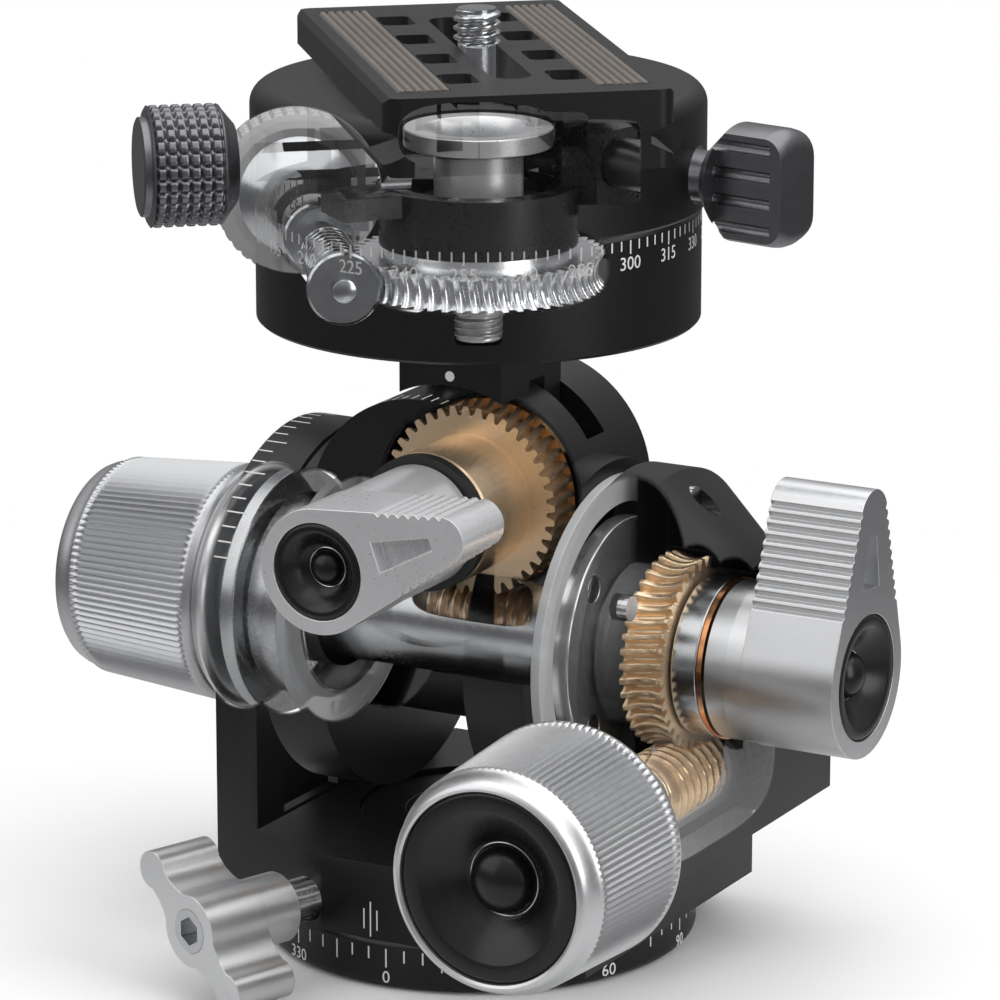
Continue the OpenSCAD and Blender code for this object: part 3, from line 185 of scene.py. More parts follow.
def turned(name, where, profile, around, relief=None, step=50.0):
    """Surface of revolution: profile rows are (place along the axis, radius), and relief adds to
    the radius as a function of angle and place."""
    profile = finer(profile, step)
    angle = np.arange(around) * TURN / around
    along = np.repeat(profile[:, :1], around, axis=1)
    radius = np.repeat(profile[:, 1:], around, axis=1)
    if relief is not None:
        radius = radius + np.where(radius > 0, relief(angle[None, :], along, radius), 0)
    return grid_mesh(points(where, radius * np.cos(angle), radius * np.sin(angle), along))


def ring_grid(loop, around):
    """A closed loop of (place, radius) carried round the axis, as the three coordinates of points()."""
    loop = np.asarray(loop, float)
    angle = np.arange(around) * TURN / around
    s = np.repeat(loop[:, :1], around, axis=1)
    r = np.repeat(loop[:, 1:], around, axis=1)
    return r * np.cos(angle), r * np.sin(angle), s


# %% [markdown]
# ## Softened edges
# Milled pieces keep their CAD shape. Real ones have a small chamfer on each edge, which catches a line
# of light, so a copy of the node is welded, its flat faces are joined, and a Bevel modifier rounds it.

# %% Copy of a node with soft edges
def softened(node, material, width=0.25, segments=2):
    """Welded copy of a CAD node with every edge past 30 degrees rounded by width millimetres."""
    source = frame["nodes"][node]
    bm = bmesh.new()
    bm.from_mesh(source.data)
    bmesh.ops.remove_doubles(bm, verts=bm.verts, dist=1e-6)
    bmesh.ops.dissolve_limit(bm, angle_limit=np.radians(0.6), verts=bm.verts, edges=bm.edges)
    mesh = bpy.data.meshes.new(node + "_soft")
    for face in bm.faces:
        face.smooth = True
    for edge in bm.edges:
        edge.smooth = len(edge.link_faces) != 2 or edge.calc_face_angle(0) < SHARP
    bm.to_mesh(mesh)
    bm.free()
    piece = bpy.data.objects.new(node + "_soft", mesh)
    bevel = piece.modifiers.new("edge", "BEVEL")
    bevel.width = width * MM
    bevel.segments = segments
    bevel.limit_method = "ANGLE"
    bevel.angle_limit = np.radians(34)
    bevel.use_clamp_overlap = True
    bevel.harden_normals = True
    return hand_over(piece, source["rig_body"], [node], material)


# %% [markdown]
# ## Shader groups
# Three effects come back in many finishes: the fine grain of blasted or turned metal, the cut plane
# behind which a housing turns clear, and the window that frames a gear. Each is a node group with
# named inputs and outputs.

# %% Fine grain group
def group(name, inputs, outputs):
    """Empty shader group with typed sockets; returns the tree and its two end nodes."""
    tree = bpy.data.node_groups.new(name, "ShaderNodeTree")
    for kind, label, value in inputs:
        socket = tree.interface.new_socket(name=label, in_out="INPUT", socket_type="NodeSocket" + kind)
        socket.default_value = value
    for kind, label in outputs:
        tree.interface.new_socket(name=label, in_out="OUTPUT", socket_type="NodeSocket" + kind)
    return tree, tree.nodes.new("NodeGroupInput"), tree.nodes.new("NodeGroupOutput")


def node(tree, kind, links=None, **settings):
    """Adds a node, sets its properties and links or fills its inputs."""
    made = tree.nodes.new("ShaderNode" + kind)
    for key, value in settings.items():
        setattr(made, key, value)
    for key, value in (links or {}).items():
        if isinstance(value, bpy.types.NodeSocket):
            tree.links.new(value, made.inputs[key])
        else:
            made.inputs[key].default_value = value
    return made


def grain_group():
    """Blotches and fine grain in object space: a shade, a roughness shift and a height."""
    tree, start, end = group(
        "Fine grain",
        [("Vector", "Stretch", (1, 1, 1)), ("Float", "Scale", 900.0), ("Float", "Contrast", 0.3)],
        [("Float", "Shade"), ("Float", "Rough shift"), ("Float", "Height")],
    )
    where = node(tree, "TexCoord").outputs["Object"]
    moved = node(tree, "VectorMath", {0: where, 1: start.outputs["Stretch"]}, operation="MULTIPLY").outputs[0]
    fine = node(tree, "TexNoise", {"Vector": moved, "Scale": start.outputs["Scale"], "Detail": 3.0}).outputs["Fac"]
    broad = node(tree, "TexNoise", {"Vector": where, "Scale": 55.0, "Detail": 4.0}).outputs["Fac"]
    both = node(tree, "Math", {0: fine, 1: broad}, operation="ADD").outputs[0]
    centred = node(tree, "Math", {0: both, 1: 1.0}, operation="SUBTRACT").outputs[0]
    shade = node(tree, "Math", {0: centred, 1: start.outputs["Contrast"], 2: 1.0}, operation="MULTIPLY_ADD").outputs[0]
    tree.links.new(shade, end.inputs["Shade"])
    tree.links.new(centred, end.inputs["Rough shift"])
    tree.links.new(fine, end.inputs["Height"])
    return tree


def cut_group():
    """One cut plane: 0 behind it, 1 past Distance along Normal, with a soft step between."""
    tree, start, end = group(
        "Cut plane",
        [("Vector", "Normal", (0, -1, 0)), ("Float", "Distance", 0.0), ("Float", "Softness", 0.002)],
        [("Float", "Mask")],
    )
    where = node(tree, "TexCoord").outputs["Object"]
    along = node(tree, "VectorMath", {0: where, 1: start.outputs["Normal"]}, operation="DOT_PRODUCT").outputs["Value"]
    past = node(tree, "Math", {0: along, 1: start.outputs["Distance"]}, operation="SUBTRACT").outputs[0]
    share = node(tree, "Math", {0: past, 1: start.outputs["Softness"]}, operation="DIVIDE", use_clamp=True).outputs[0]
    tree.links.new(share, end.inputs["Mask"])
    return tree


def window_group():
    """Window on a fixed line of sight. The point is carried from the eye point on to the window's own
    two directions, each divided by its depth; the mask is 1 where the rounded distance is under 1."""
    tree, start, end = group(
        "Sight window",
        [("Vector", "Eye", (0, -1, 0)), ("Vector", "Across", (1, 0, 0)), ("Vector", "Up", (0, 0, 1)),
         ("Vector", "Ahead", (0, 1, 0)), ("Float", "Power", 2.0), ("Float", "Softness", 0.05)],
        [("Float", "Mask")],
    )
    where = node(tree, "TexCoord").outputs["Object"]
    ray = node(tree, "VectorMath", {0: where, 1: start.outputs["Eye"]}, operation="SUBTRACT").outputs[0]
    depth, across, up = (
        node(tree, "VectorMath", {0: ray, 1: start.outputs[k]}, operation="DOT_PRODUCT").outputs["Value"]
        for k in ("Ahead", "Across", "Up")
    )
    powers = []
    for part in (across, up):
        share = node(tree, "Math", {0: part, 1: depth}, operation="DIVIDE").outputs[0]
        size = node(tree, "Math", {0: share}, operation="ABSOLUTE").outputs[0]
        powers.append(node(tree, "Math", {0: size, 1: start.outputs["Power"]}, operation="POWER").outputs[0])
    total = node(tree, "Math", {0: powers[0], 1: powers[1]}, operation="ADD").outputs[0]
    inside = node(tree, "Math", {0: 1.0, 1: total}, operation="SUBTRACT").outputs[0]
    share = node(tree, "Math", {0: inside, 1: start.outputs["Softness"]}, operation="DIVIDE", use_clamp=True).outputs[0]
    tree.links.new(share, end.inputs["Mask"])
    return tree


WINDOW = window_group()
GRAIN = grain_group()
CUT = cut_group()
print("shader groups:", WINDOW.name + ",", GRAIN.name, "and", CUT.name)

# %% [markdown]
# ## Finishes
# Every finish starts from the same recipe: a base colour shaded by the grain, a roughness that wanders
# with it, and a bump from the same grain, so no face looks like flat paint.

# %% The basic finish
def finish(name, color, roughness, metallic=0.0, scale=900.0, stretch=(1, 1, 1), contrast=0.3,
           bump=0.04, shift=0.12, coat=0.0, alpha=1.0, glare=0.5):
    """Principled material with grain in its colour, roughness and bump."""
    material = bpy.data.materials.new(name)
    material.use_nodes = True
    tree = material.node_tree
    shader = tree.nodes["Principled BSDF"]
    grain = node(tree, "Group", node_tree=GRAIN)
    grain.inputs["Stretch"].default_value = stretch
    grain.inputs["Scale"].default_value = scale
    grain.inputs["Contrast"].default_value = contrast
    tint = node(tree, "VectorMath", {0: tuple(color), "Scale": grain.outputs["Shade"]}, operation="SCALE").outputs[0]
    rough = node(tree, "Math", {0: grain.outputs["Rough shift"], 1: shift, 2: roughness}, operation="MULTIPLY_ADD",
                 use_clamp=True).outputs[0]
    relief = node(tree, "Bump", {"Height": grain.outputs["Height"], "Strength": bump, "Distance": 0.0002}).outputs[0]
    tree.links.new(tint, shader.inputs["Base Color"])
    tree.links.new(rough, shader.inputs["Roughness"])
    tree.links.new(relief, shader.inputs["Normal"])
    shader.inputs["Metallic"].default_value = metallic
    shader.inputs["Coat Weight"].default_value = coat
    shader.inputs["Alpha"].default_value = alpha
    shader.inputs["Specular IOR Level"].default_value = glare
    return material


def window(centre, half_across, half_up, power=2.0, soft=0.12):
    """A disc or rectangle in the object, in millimetres, seen from the eye point. Its three vectors
    turn a ray into shares of the half sizes: they are the rows of the inverse of (across, up, centre)."""
    basis = np.array([half_across, half_up, np.asarray(centre, float) - EYE]).T
    across, up, ahead = np.linalg.inv(basis)
    return ("window", across, up, ahead, power, soft)


def tube_window(start, end, radius, power=5.0, soft=0.12):
    """Window that frames a rod from start to end, seen from the eye point."""
    middle, half = (start + end) / 2, (end - start) / 2
    ahead = (middle - EYE) / np.linalg.norm(middle - EYE)
    half = half - ahead * np.dot(half, ahead)
    length = np.linalg.norm(half)
    across = half / length
    return window(middle, across * (length + radius), np.cross(ahead, across) * radius, power, soft)


def plane(normal, distance, softness=1.0):
    """A cut plane: everything past the distance along the normal, in millimetres."""
    return ("plane", np.asarray(normal, float), distance, softness)


def mask_of(tree, region):
    """Product of the masks of a region's windows and planes."""
    mask = None
    for part in region:
        if part[0] == "plane":
            made = node(tree, "Group", node_tree=CUT)
            made.inputs["Normal"].default_value = tuple(part[1])
            made.inputs["Distance"].default_value = part[2] * MM
            made.inputs["Softness"].default_value = part[3] * MM
        else:
            made = node(tree, "Group", node_tree=WINDOW)
            made.inputs["Eye"].default_value = tuple(EYE * MM)
            for label, value in zip(("Across", "Up", "Ahead"), part[1:4]):
                made.inputs[label].default_value = tuple(value)
            made.inputs["Power"].default_value = part[4]
            made.inputs["Softness"].default_value = part[5]
        out = made.outputs["Mask"]
        mask = out if mask is None else node(tree, "Math", {0: mask, 1: out}, operation="MULTIPLY").outputs[0]
    return mask


def any_of(tree, regions):
    """Largest of the masks of several regions."""
    masks = [mask_of(tree, region) for region in regions]
    while len(masks) > 1:
        pairs = list(zip(masks[::2], masks[1::2]))
        rest = masks[2 * len(pairs):]
        masks = [node(tree, "Math", {0: x, 1: y}, operation="MAXIMUM").outputs[0] for x, y in pairs] + rest
    return masks[0]


def clear_where(material, clear, light, ghost=(), low=0.03, ghost_alpha=0.42, ghost_color=(0.36, 0.365, 0.37)):
    """Opens windows in a finish: clear ones, and ghost ones that keep a pale veil. Past the light
    planes every ray but the camera's passes, so that daylight reaches the pieces inside."""
    tree = material.node_tree
    shader = tree.nodes["Principled BSDF"]
    inside = any_of(tree, clear)
    keep = node(tree, "Mix", {"Factor": inside, "A": 1.0, "B": low}, data_type="FLOAT").outputs[0]
    if ghost:
        veil = any_of(tree, ghost)
        veiled = node(tree, "Mix", {"Factor": veil, "A": 1.0, "B": ghost_alpha}, data_type="FLOAT").outputs[0]
        keep = node(tree, "Math", {0: keep, 1: veiled}, operation="MINIMUM").outputs[0]
        painted = shader.inputs["Base Color"].links[0].from_socket
        mixed = node(tree, "Mix", data_type="RGBA")
        tree.links.new(veil, mixed.inputs[0])
        tree.links.new(painted, mixed.inputs[6])
        mixed.inputs[7].default_value = (*ghost_color, 1)
        tree.links.new(mixed.outputs[2], shader.inputs["Base Color"])
    lit = node(tree, "Math", {0: 1.0, 1: any_of(tree, light)}, operation="SUBTRACT").outputs[0]
    path = node(tree, "LightPath")
    seen = node(tree, "Mix", {"Factor": path.outputs["Is Camera Ray"], "A": lit, "B": keep}, data_type="FLOAT")
    tree.links.new(seen.outputs[0], shader.inputs["Alpha"])
    return material


# %% The finishes by slot
def black_anodised(name):
    return finish(name, (0.0075, 0.0075, 0.008), 0.36, scale=2600, contrast=0.5, bump=0.10, glare=0.34)


def polished(name, roughness=0.22):
    return finish(name, (0.52, 0.53, 0.54), roughness, metallic=1.0, scale=1200, contrast=0.10, bump=0.03)


def white_print(name):
    return finish(name, (0.82, 0.82, 0.81), 0.6, scale=1500, contrast=0.1, bump=0.02)


BLACK = black_anodised("black_anodised")
GLOSS = finish("black_gloss", (0.008, 0.008, 0.0085), 0.27, scale=1200, bump=0.02, shift=0.05, glare=0.4)
SILVER = finish("satin_aluminium", (0.66, 0.665, 0.67), 0.34, metallic=1.0, scale=1500, contrast=0.10, bump=0.05)
# Painted light: a paler, less metallic copy of the satin aluminium, so lever 1, the axle screw and its stud look
# brighter than the lamps make them.
LIT_COPY_SILVER = finish("lit_copy_aluminium", (0.80, 0.805, 0.81), 0.30, metallic=0.6, scale=1500, contrast=0.10)
# Painted shade: a darker copy of the satin aluminium, so knob 1 shows a dimmer highlight than the lamps give it.
SHADED_COPY_SILVER = finish("shaded_copy_aluminium", (0.52, 0.525, 0.53), 0.36, metallic=1.0, scale=1500, contrast=0.10, bump=0.05)
STEEL = polished("steel")
DARK = finish("dark_steel", (0.16, 0.16, 0.17), 0.32, metallic=1.0, scale=1500, contrast=0.2, bump=0.05)
GREY = finish("dark_aluminium", (0.20, 0.20, 0.21), 0.34, metallic=1.0, scale=1500, contrast=0.2, bump=0.05)
BRONZE = finish("gear_bronze", (0.93, 0.70, 0.46), 0.30, metallic=0.8, scale=1100, contrast=0.18, bump=0.05)
BEARING = finish("bearing_bronze", (0.62, 0.38, 0.18), 0.34, metallic=1.0, scale=1100, contrast=0.2, bump=0.05)
COLLAR = finish("collar_black", (0.02, 0.02, 0.021), 0.28, scale=1500, bump=0.03, glare=0.6)
COPPER = finish("copper", (0.66, 0.30, 0.13), 0.22, metallic=1.0, scale=1100, contrast=0.15, bump=0.03)
SEAL = finish("seal_rubber", (0.015, 0.015, 0.016), 0.6, scale=1800, bump=0.1)
PAD = finish("pad_rubber", (0.135, 0.12, 0.105), 0.75, scale=1400, contrast=0.5, bump=0.35)
PRINT = white_print("white_print")
CLEAR = finish("clear_cover", (0.85, 0.86, 0.87), 0.10, scale=400, contrast=0.05, bump=0.01, alpha=0.22)
GLASSY = finish("clear_steel", (0.90, 0.91, 0.92), 0.26, metallic=1.0, scale=400, contrast=0.05, bump=0.01,
                alpha=0.96)
GHOST = finish("ghost_steel", (0.70, 0.71, 0.72), 0.25, metallic=1.0, contrast=0.1, bump=0.03, alpha=0.62)
FROST = finish("frosted_silver", (0.50, 0.50, 0.505), 0.42, metallic=0.25, contrast=0.1, bump=0.03, alpha=0.92)
PALE = finish("pale_cover", (0.74, 0.745, 0.75), 0.22, metallic=0.85, contrast=0.1, bump=0.02, alpha=0.82)
VEIL = finish("pale_ring", (0.60, 0.61, 0.62), 0.35, contrast=0.1, bump=0.03, alpha=0.72)
SLOTS = {
    "black_anodised": BLACK, "black_gloss": GLOSS, "satin_aluminium": SILVER, "steel": STEEL, "gear_bronze": BRONZE,
    "bearing_bronze": BEARING, "copper": COPPER, "clear": CLEAR, "seal_rubber": SEAL, "pad_rubber": PAD,
}
slot_of = {s["node"]: s["material_slot"] for s in frame["record"]["subparts"]}
for name, piece in frame["nodes"].items():
    piece.data.materials.clear()
    piece.data.materials.append(SLOTS[slot_of[name]])
print(len(bpy.data.materials), "materials")

# %% [markdown]
# ## The cut-away housings
# The picture of this head shows its gears through the housings that face the viewer. Each housing here
# is whole, and its finish turns clear inside windows that are fixed to the piece. A window is a disc or
# a rectangle that stands where the gear is, and the line from a fixed eye point through it gives the
# place on the housing, so the window keeps its place from any side and moves with the piece. The eye
# point is the place the picture was taken from, so the windows frame the gears best from there. Light
# also passes the housings, so they throw less shadow than a real one would.

# %% Windows in the head
RIGHT, TOWARDS = compass(28.74), compass(-61.26)
front_half = plane(TOWARDS, -3.0, 1.0)
worm_point = lambda s: AT_PAN_WORM[0] + AT_PAN_WORM[3] * s
lug = compass(232)
lock_point = compass(LOCK_AZ + 90) * 10.9
funnel_windows = [window(UP * 110.5, RIGHT * 10.8, UP * 4.7, 2.8, 0.05), window(UP * 106.6, RIGHT * 8.6, UP * 4.6, 6.0)]
ear_windows = [
    window(lock_point + compass(LOCK_AZ) * 12 + UP * 106.8, RIGHT * 5.6, UP * 5.9, 10.0, 0.3),
    window(lock_point + compass(LOCK_AZ) * 3.9 + UP * 107.4, RIGHT * 5.0, UP * 5.4, 10.0, 0.3),
]
stud_window = window(UP * 85.4, RIGHT * 3.3, UP * 3.6, 8.0)
head_windows = funnel_windows + ear_windows + [
    window(UP * 92.7, RIGHT * 17.9, UP * 6.9, 2.6), window(UP * 100.4, RIGHT * 13.6, UP * 7.2, 3.2), stud_window,
    window(lug * 16.0 + UP * 104.2, lug * 6.2, compass(322) * 5.2, 5.0),
    window(lug * 16.0 + UP * 101.6, lug * 6.2, compass(322) * 5.2, 5.0),
    tube_window(worm_point(-9.0), worm_point(12.0), 4.1), window(worm_point(-10.4), RIGHT * 5.1, UP * 5.1),
    window(worm_point(22.5), RIGHT * 5.2, UP * 5.2),
]
cone_windows = [tube_window(worm_point(12.0), worm_point(47.0), 4.6), window(worm_point(50.0), RIGHT * 8.8, UP * 8.8)]
knob_window = window(worm_point(54.5), RIGHT * 12.3, UP * 12.3, 2.0, 0.04)
head_clear = [[front_half, w] for w in head_windows] + [[w] for w in cone_windows]
head_light = [[plane(TOWARDS, -80.0, 8.0)]]

# %% Windows in the cradle, the fork and the gear cover
AXLE_B = UP * AXIS_B
Y = np.array([0.0, 1.0, 0.0])
X = np.array([1.0, 0.0, 0.0])


def ring_window(x, radius, soft=0.08):
    """Round window about the lower tilt axis."""
    return window(AXLE_B + X * x, Y * radius, UP * radius, 2.0, soft)


front_a = plane(-Y, -3.6, 0.3)
front_b = plane(-Y, -1.5, 1.0)
gear_a_windows = [[front_a, window(UP * AXIS_A + Y * y, X * 14.3, UP * 14.3)] for y in (-2.7, 0.3, 3.3)]
worm_a_window = [plane(-Y, 0.0, 0.5), window(UP * 47.2 - Y * 2.0, X * 9.6, UP * 3.6, 4.0)]
sleeve_window = [plane(-Y, 0.0, 0.5), window(UP * 42.6 - X * 3.0, X * 15.0, UP * 7.6, 6.0)]
left_windows = [[ring_window(x, 17.6)] for x in (-35.0, -28.0, -20.5)]
barrel_windows = [[ring_window(x, 14.3)] for x in (-17.5, -14.5, -12.0)]
disc_window = [front_b, ring_window(20.9, 22.6)]
train_windows = [[front_b, ring_window(x, radius)] for x, radius in ((31.4, 14.6), (37.0, 13.5), (41.0, 12.5))]
worm_b_window = [plane(-Y, -12.0, 1.5), plane(UP, 22.4, 0.5),
                 window(np.array(WORM_B) - Y * 0.5, Y * 13.0, UP * 6.2, 3.0)]
veil_window = [plane(-Y, -14.0, 1.0), plane(X, 27.0, 0.3), window((36.0, 0, 29.0), Y * 19.0, UP * 12.0, 4.0)]
open_front = [[plane(-Y, -3.0, 3.0)]]
knob_veil = dict(ghost_alpha=0.06, ghost_color=(0.3, 0.3, 0.3))
HOUSING = clear_where(black_anodised("housing_black"), head_clear, head_light, [[knob_window]], **knob_veil)
JAW = clear_where(black_anodised("jaw_black"), [[w] for w in cone_windows], head_light, [[knob_window]], **knob_veil)
DRUM = clear_where(black_anodised("drum_black"), head_clear, head_light, [[knob_window]], **knob_veil)
PLATE = clear_where(black_anodised("plate_black"), [[w] for w in funnel_windows + ear_windows], head_light)
ARM = clear_where(black_anodised("arm_black"), [[front_half, stud_window]], [[front_half]])
hidden = [[w] for w in funnel_windows + cone_windows + [knob_window]]
SCREW = clear_where(polished("screw_steel"), hidden, hidden, low=0.0)
ROOF_PRINT = clear_where(white_print("roof_print"), gear_a_windows, open_front, low=0.12)
CRADLE = clear_where(black_anodised("cradle_black"),
                     gear_a_windows + [worm_a_window, sleeve_window, disc_window] + left_windows + barrel_windows,
                     open_front)
FORK = clear_where(black_anodised("fork_black"), left_windows + [disc_window, worm_b_window] + train_windows,
                   open_front, [veil_window])
GEAR_COVER = clear_where(black_anodised("gear_cover_black"), [disc_window, worm_b_window] + train_windows, open_front,
                         [veil_window])
SLEEVE = clear_where(polished("sleeve_steel", 0.24), [worm_a_window], [worm_a_window])
DRUM_PRINT = clear_where(white_print("drum_print"), head_clear + [[knob_window]], head_light, low=0.3)
print("windows on 12 finishes")

# %% Milled pieces with soft edges
softened("base_disc", BLACK, 0.2)
softened("pan_retaining_ring", BLACK, 0.2)
softened("fork_frame", FORK, 0.4)
softened("gear_b_housing", GEAR_COVER, 0.3)
softened("cradle_frame", CRADLE, 0.35)
softened("head_arm", ARM, 0.3)
softened("lower_drum", DRUM, 0.3)
softened("upper_housing", HOUSING, 0.2)
softened("clamp_jaw", JAW, 0.3)
softened("split_collar", COLLAR, 0.35)
softened("quick_plate", PLATE, 0.3)
# Lever 1 takes the lit copy of the aluminium: painted light.
softened("lever_1", LIT_COPY_SILVER, 0.22)
softened("lever_2", SILVER, 0.25)
softened("wing_knob", SILVER, 0.6, 3)
softened("lock_knob", GREY, 0.3)
softened("worm_a_sleeve", SLEEVE, 0.2)
# The axle screw takes the lit copy of the aluminium: painted light.
softened("axle_screw", LIT_COPY_SILVER, 0.25)
softened("side_cover", PALE, 0.3)
softened("hollow_trunnion", GHOST, 0.3)
softened("left_thrust_washer", VEIL, 0.2)
softened("side_seal_ring", VEIL, 0.2)
softened("side_cover_screws", GHOST, 0.1)
softened("clamp_ring", STEEL, 0.25)
frame["nodes"]["right_trunnion_bush"].data.materials[0] = CLEAR
frame["nodes"]["left_trunnion_bush"].data.materials[0] = GHOST
frame["nodes"]["worm_a_front_bush"].data.materials[0] = GREY
frame["nodes"]["lock_screw"].data.materials[0] = DARK
for name in ("jaw_screw", "jaw_guide_pins", "screw_washer", "pan_worm_bush"):
    frame["nodes"][name].data.materials[0] = SCREW

# %% [markdown]
# ## Knobs
# The tilt knobs are turned bars with straight knurling: fine ridges that run along the knob. As a
# formula, the radius gets a triangle wave of the angle, faded out at both ends of the band.


# %% Waves and bands
def ridges(phase):
    """Triangle wave from 0 to 1 with one ridge per unit of phase."""
    return np.abs(2 * (phase - np.floor(phase)) - 1)


def band(x, low, high, soft):
    """1 between low and high, falling to 0 over soft at both ends."""
    return np.clip((x - low) / soft, 0, 1) * np.clip((high - x) / soft, 0, 1)


KNURLS = 104


def straight_knurl(low, high, depth=0.52):
    """Ridges along the knob between low and high, on the outer skin only."""
    def relief(angle, along, radius):
        return -depth * ridges(KNURLS * angle / TURN) * band(along, low, high, 0.5) * (radius > 14)
    return relief


def tilt_knob(name, where, back, extra, body, material):
    """Tilt knob from its back face to the rim round its cap; back is the place of the back face."""
    r0, r1, end = 16.0 + extra, 15.0 + extra / 2, back + 24
    profile = [
        [back, 0], [back, r0 - 1.2], [back + 0.5, r0 - 0.4], [back + 1.2, r0 - 0.1], [back + 1.6, r0],
        [back + 20.6, r1], [back + 21.2, r1 - 0.35], [back + 22.6, r1 - 0.75], [back + 23.4, r1 - 1.1],
        [end - 0.15, r1 - 1.5], [end, r1 - 1.9], [end - 0.2, 12.75], [end - 0.6, 12.62], [end - 6, 12.62],
        [end - 6, 0],
    ]
    bm = turned(name, where, profile, KNURLS * 6, straight_knurl(back + 1.8, back + 20.4), 0.5)
    return finish_mesh(name + "_turned", bm, body, [name], material)


tilt_knob("knob_2", AT_KNOB_2, 31.0, 0.0, "lower_worm", SILVER)
# Knob 1 takes the darker copy of the aluminium: painted shade.
tilt_knob("knob_1", AT_KNOB_1, 36.0, 0.8, "upper_worm", SHADED_COPY_SILVER)


# %% Dished caps
def cap(name, where, face, radius, body, depth=3.6):
    """Black cap: a flat ring, a cone down to a bowl, and a dome in the middle with a fine groove round it."""
    ring, dome = radius * 0.8, radius * 0.36
    low = face - depth * 0.8
    a = np.radians(np.linspace(0, 90, 9))
    hill = [[low + 0.12 + dome * 0.72 * np.sin(t), dome * np.cos(t)] for t in a]
    profile = [
        [face - depth, 0], [face - depth, radius - 0.02], [face - 0.35, radius - 0.02], [face - 0.05, radius - 0.3],
        [face, radius - 0.6], [face, ring + 0.25], [face - 0.1, ring], [low + 0.9, dome + 1.6],
        [low + 0.25, dome + 0.9],
        [low, dome + 0.4], [low, dome + 0.12],
    ] + hill
    bm = turned(name, where, profile, 96)
    return finish_mesh(name + "_turned", bm, body, [name], GLOSS)


KNOB_CAP_R, KNOB_CAP_DEPTH, KNOB_RING_DROP, LEVER_RING_DROP = 12.58, 5.4, 4.3, 2.86
cap("knob_2_cap", AT_KNOB_2, KNOB_2_FACE, KNOB_CAP_R, "lower_worm", KNOB_CAP_DEPTH)
cap("knob_1_cap", AT_KNOB_1, KNOB_1_FACE, KNOB_CAP_R, "upper_worm", KNOB_CAP_DEPTH)
cap("lever_1_cap", AT_A, LEVER_1_FACE, 6.5, "upper_lever")
cap("lever_2_cap", AT_B, LEVER_2_FACE, 8.5, "lower_lever")


def dome_ring(name, where, along, radius, body):
    """Thin bright ring that lies at the foot of a cap's dome."""
    a = np.linspace(0, TURN, 9)[:-1]
    wire = 0.13
    loop = [[along + wire * np.sin(t), radius + wire * np.cos(t)] for t in a]
    bm = grid_mesh(points(where, *ring_grid(loop, 96)), closed_rows=True)
    return finish_mesh(name, bm, body, None, STEEL)


dome_ring("knob_2_dome_ring", AT_KNOB_2, KNOB_2_FACE - KNOB_RING_DROP, 4.85, "lower_worm")
dome_ring("knob_1_dome_ring", AT_KNOB_1, KNOB_1_FACE - KNOB_RING_DROP, 4.85, "upper_worm")
dome_ring("lever_1_dome_ring", AT_A, LEVER_1_FACE - LEVER_RING_DROP, 2.62, "upper_lever")
dome_ring("lever_2_dome_ring", AT_B, LEVER_2_FACE - LEVER_RING_DROP, 3.35, "lower_lever")


# %% Collar behind knob 1
collar = [
    [31.6, 0], [31.6, 11.4], [31.9, 12.2], [32.4, 12.4], [33.3, 12.4], [33.5, 13.2], [33.6, 15.9], [33.9, 16.8],
    [34.5, 17.25], [35.1, 17.1], [35.5, 16.6], [36.0, 16.4], [36.0, 0],
]
finish_mesh("knob_1_collar_turned", turned("collar", AT_KNOB_1, collar, 160), "upper_worm", ["knob_1_collar"],
            SILVER)


# %% [markdown]
# ## Grid knurling
# The clamp knob and the pan knob carry small square pyramids: the product of a wave round the knob and
# a wave along it.

# %% Clamp knob and pan knob
def grid_knurl(count, pitch, low, high, depth):
    """Square pyramids: a wave round the knob times a wave along it."""
    def relief(angle, along, radius):
        round_wave = np.minimum(1, 2.2 * (1 - ridges(count * angle / TURN)))
        long_wave = np.minimum(1, 2.2 * (1 - ridges((along - low) / pitch)))
        return -depth * (1 - round_wave * long_wave) * band(along, low - 0.05, high + 0.05, 0.1)
    return relief


clamp = [[33.0, 0], [33.0, 5.4], [34.6, 7.4], [34.9, 7.9], [35.3, 8.1], [44.4, 8.1], [44.7, 7.6], [44.75, 6.7]]
clamp += [[45.6, 6.6], [45.8, 6.2], [45.8, 0]]
finish_mesh("clamp_knob_turned", turned("clamp", AT_CLAMP, clamp, 270, grid_knurl(27, 1.5, 35.3, 44.3, 0.55), 0.15),
            "clamp_nut", ["clamp_knob"], GREY)
pan = [[50.5, 0], [50.5, 9.8], [51.0, 10.9], [51.6, 11.95], [57.4, 11.95], [58.1, 10.9], [58.5, 9.6], [58.5, 0]]
finish_mesh("pan_knob_turned", turned("pan", AT_PAN_WORM, pan, 400, grid_knurl(40, 1.95, 51.5, 57.4, 0.6), 0.15),
            "pan_drive", ["pan_knob"], FROST)

# %% [markdown]
# ## Threads, worms and worm wheels
# A thread is a radius that depends on the place along the axis less the pitch times the angle. A worm
# wheel is the same idea the other way round: a radius that repeats round the wheel, twisted across its
# width and hollowed to hug the worm.


# %% Helical surfaces
def tooth_wave(phase, flat=0.22, steep=0.30):
    """Rounded trapezoid from 0 to 1, high at whole numbers of phase."""
    away = np.abs(phase - np.round(phase))
    share = np.clip((flat / 2 + steep - away) / steep, 0, 1)
    return share * share * (3 - 2 * share)


def helix(where, low, high, core, crest, pitch, phase, tip=0.4, around=56, step=0.16):
    """Right-hand thread between low and high; its crest passes phase turns before the start angle."""
    rows = np.arange(low, high + step / 2, step)
    angle = np.arange(around) * TURN / around
    along = np.repeat(rows[:, None], around, axis=1)
    fade = band(along, low + tip * 0.2, high - tip * 0.2, tip)
    radius = core + (crest - core) * tooth_wave(along / pitch - angle / TURN + phase) * fade
    ends = [np.zeros((1, around)) + low, np.zeros((1, around)) + high]
    along = np.vstack([ends[0], along, ends[1]])
    radius = np.vstack([np.zeros((1, around)), radius, np.zeros((1, around))])
    return grid_mesh(points(where, radius * np.cos(angle), radius * np.sin(angle), along))


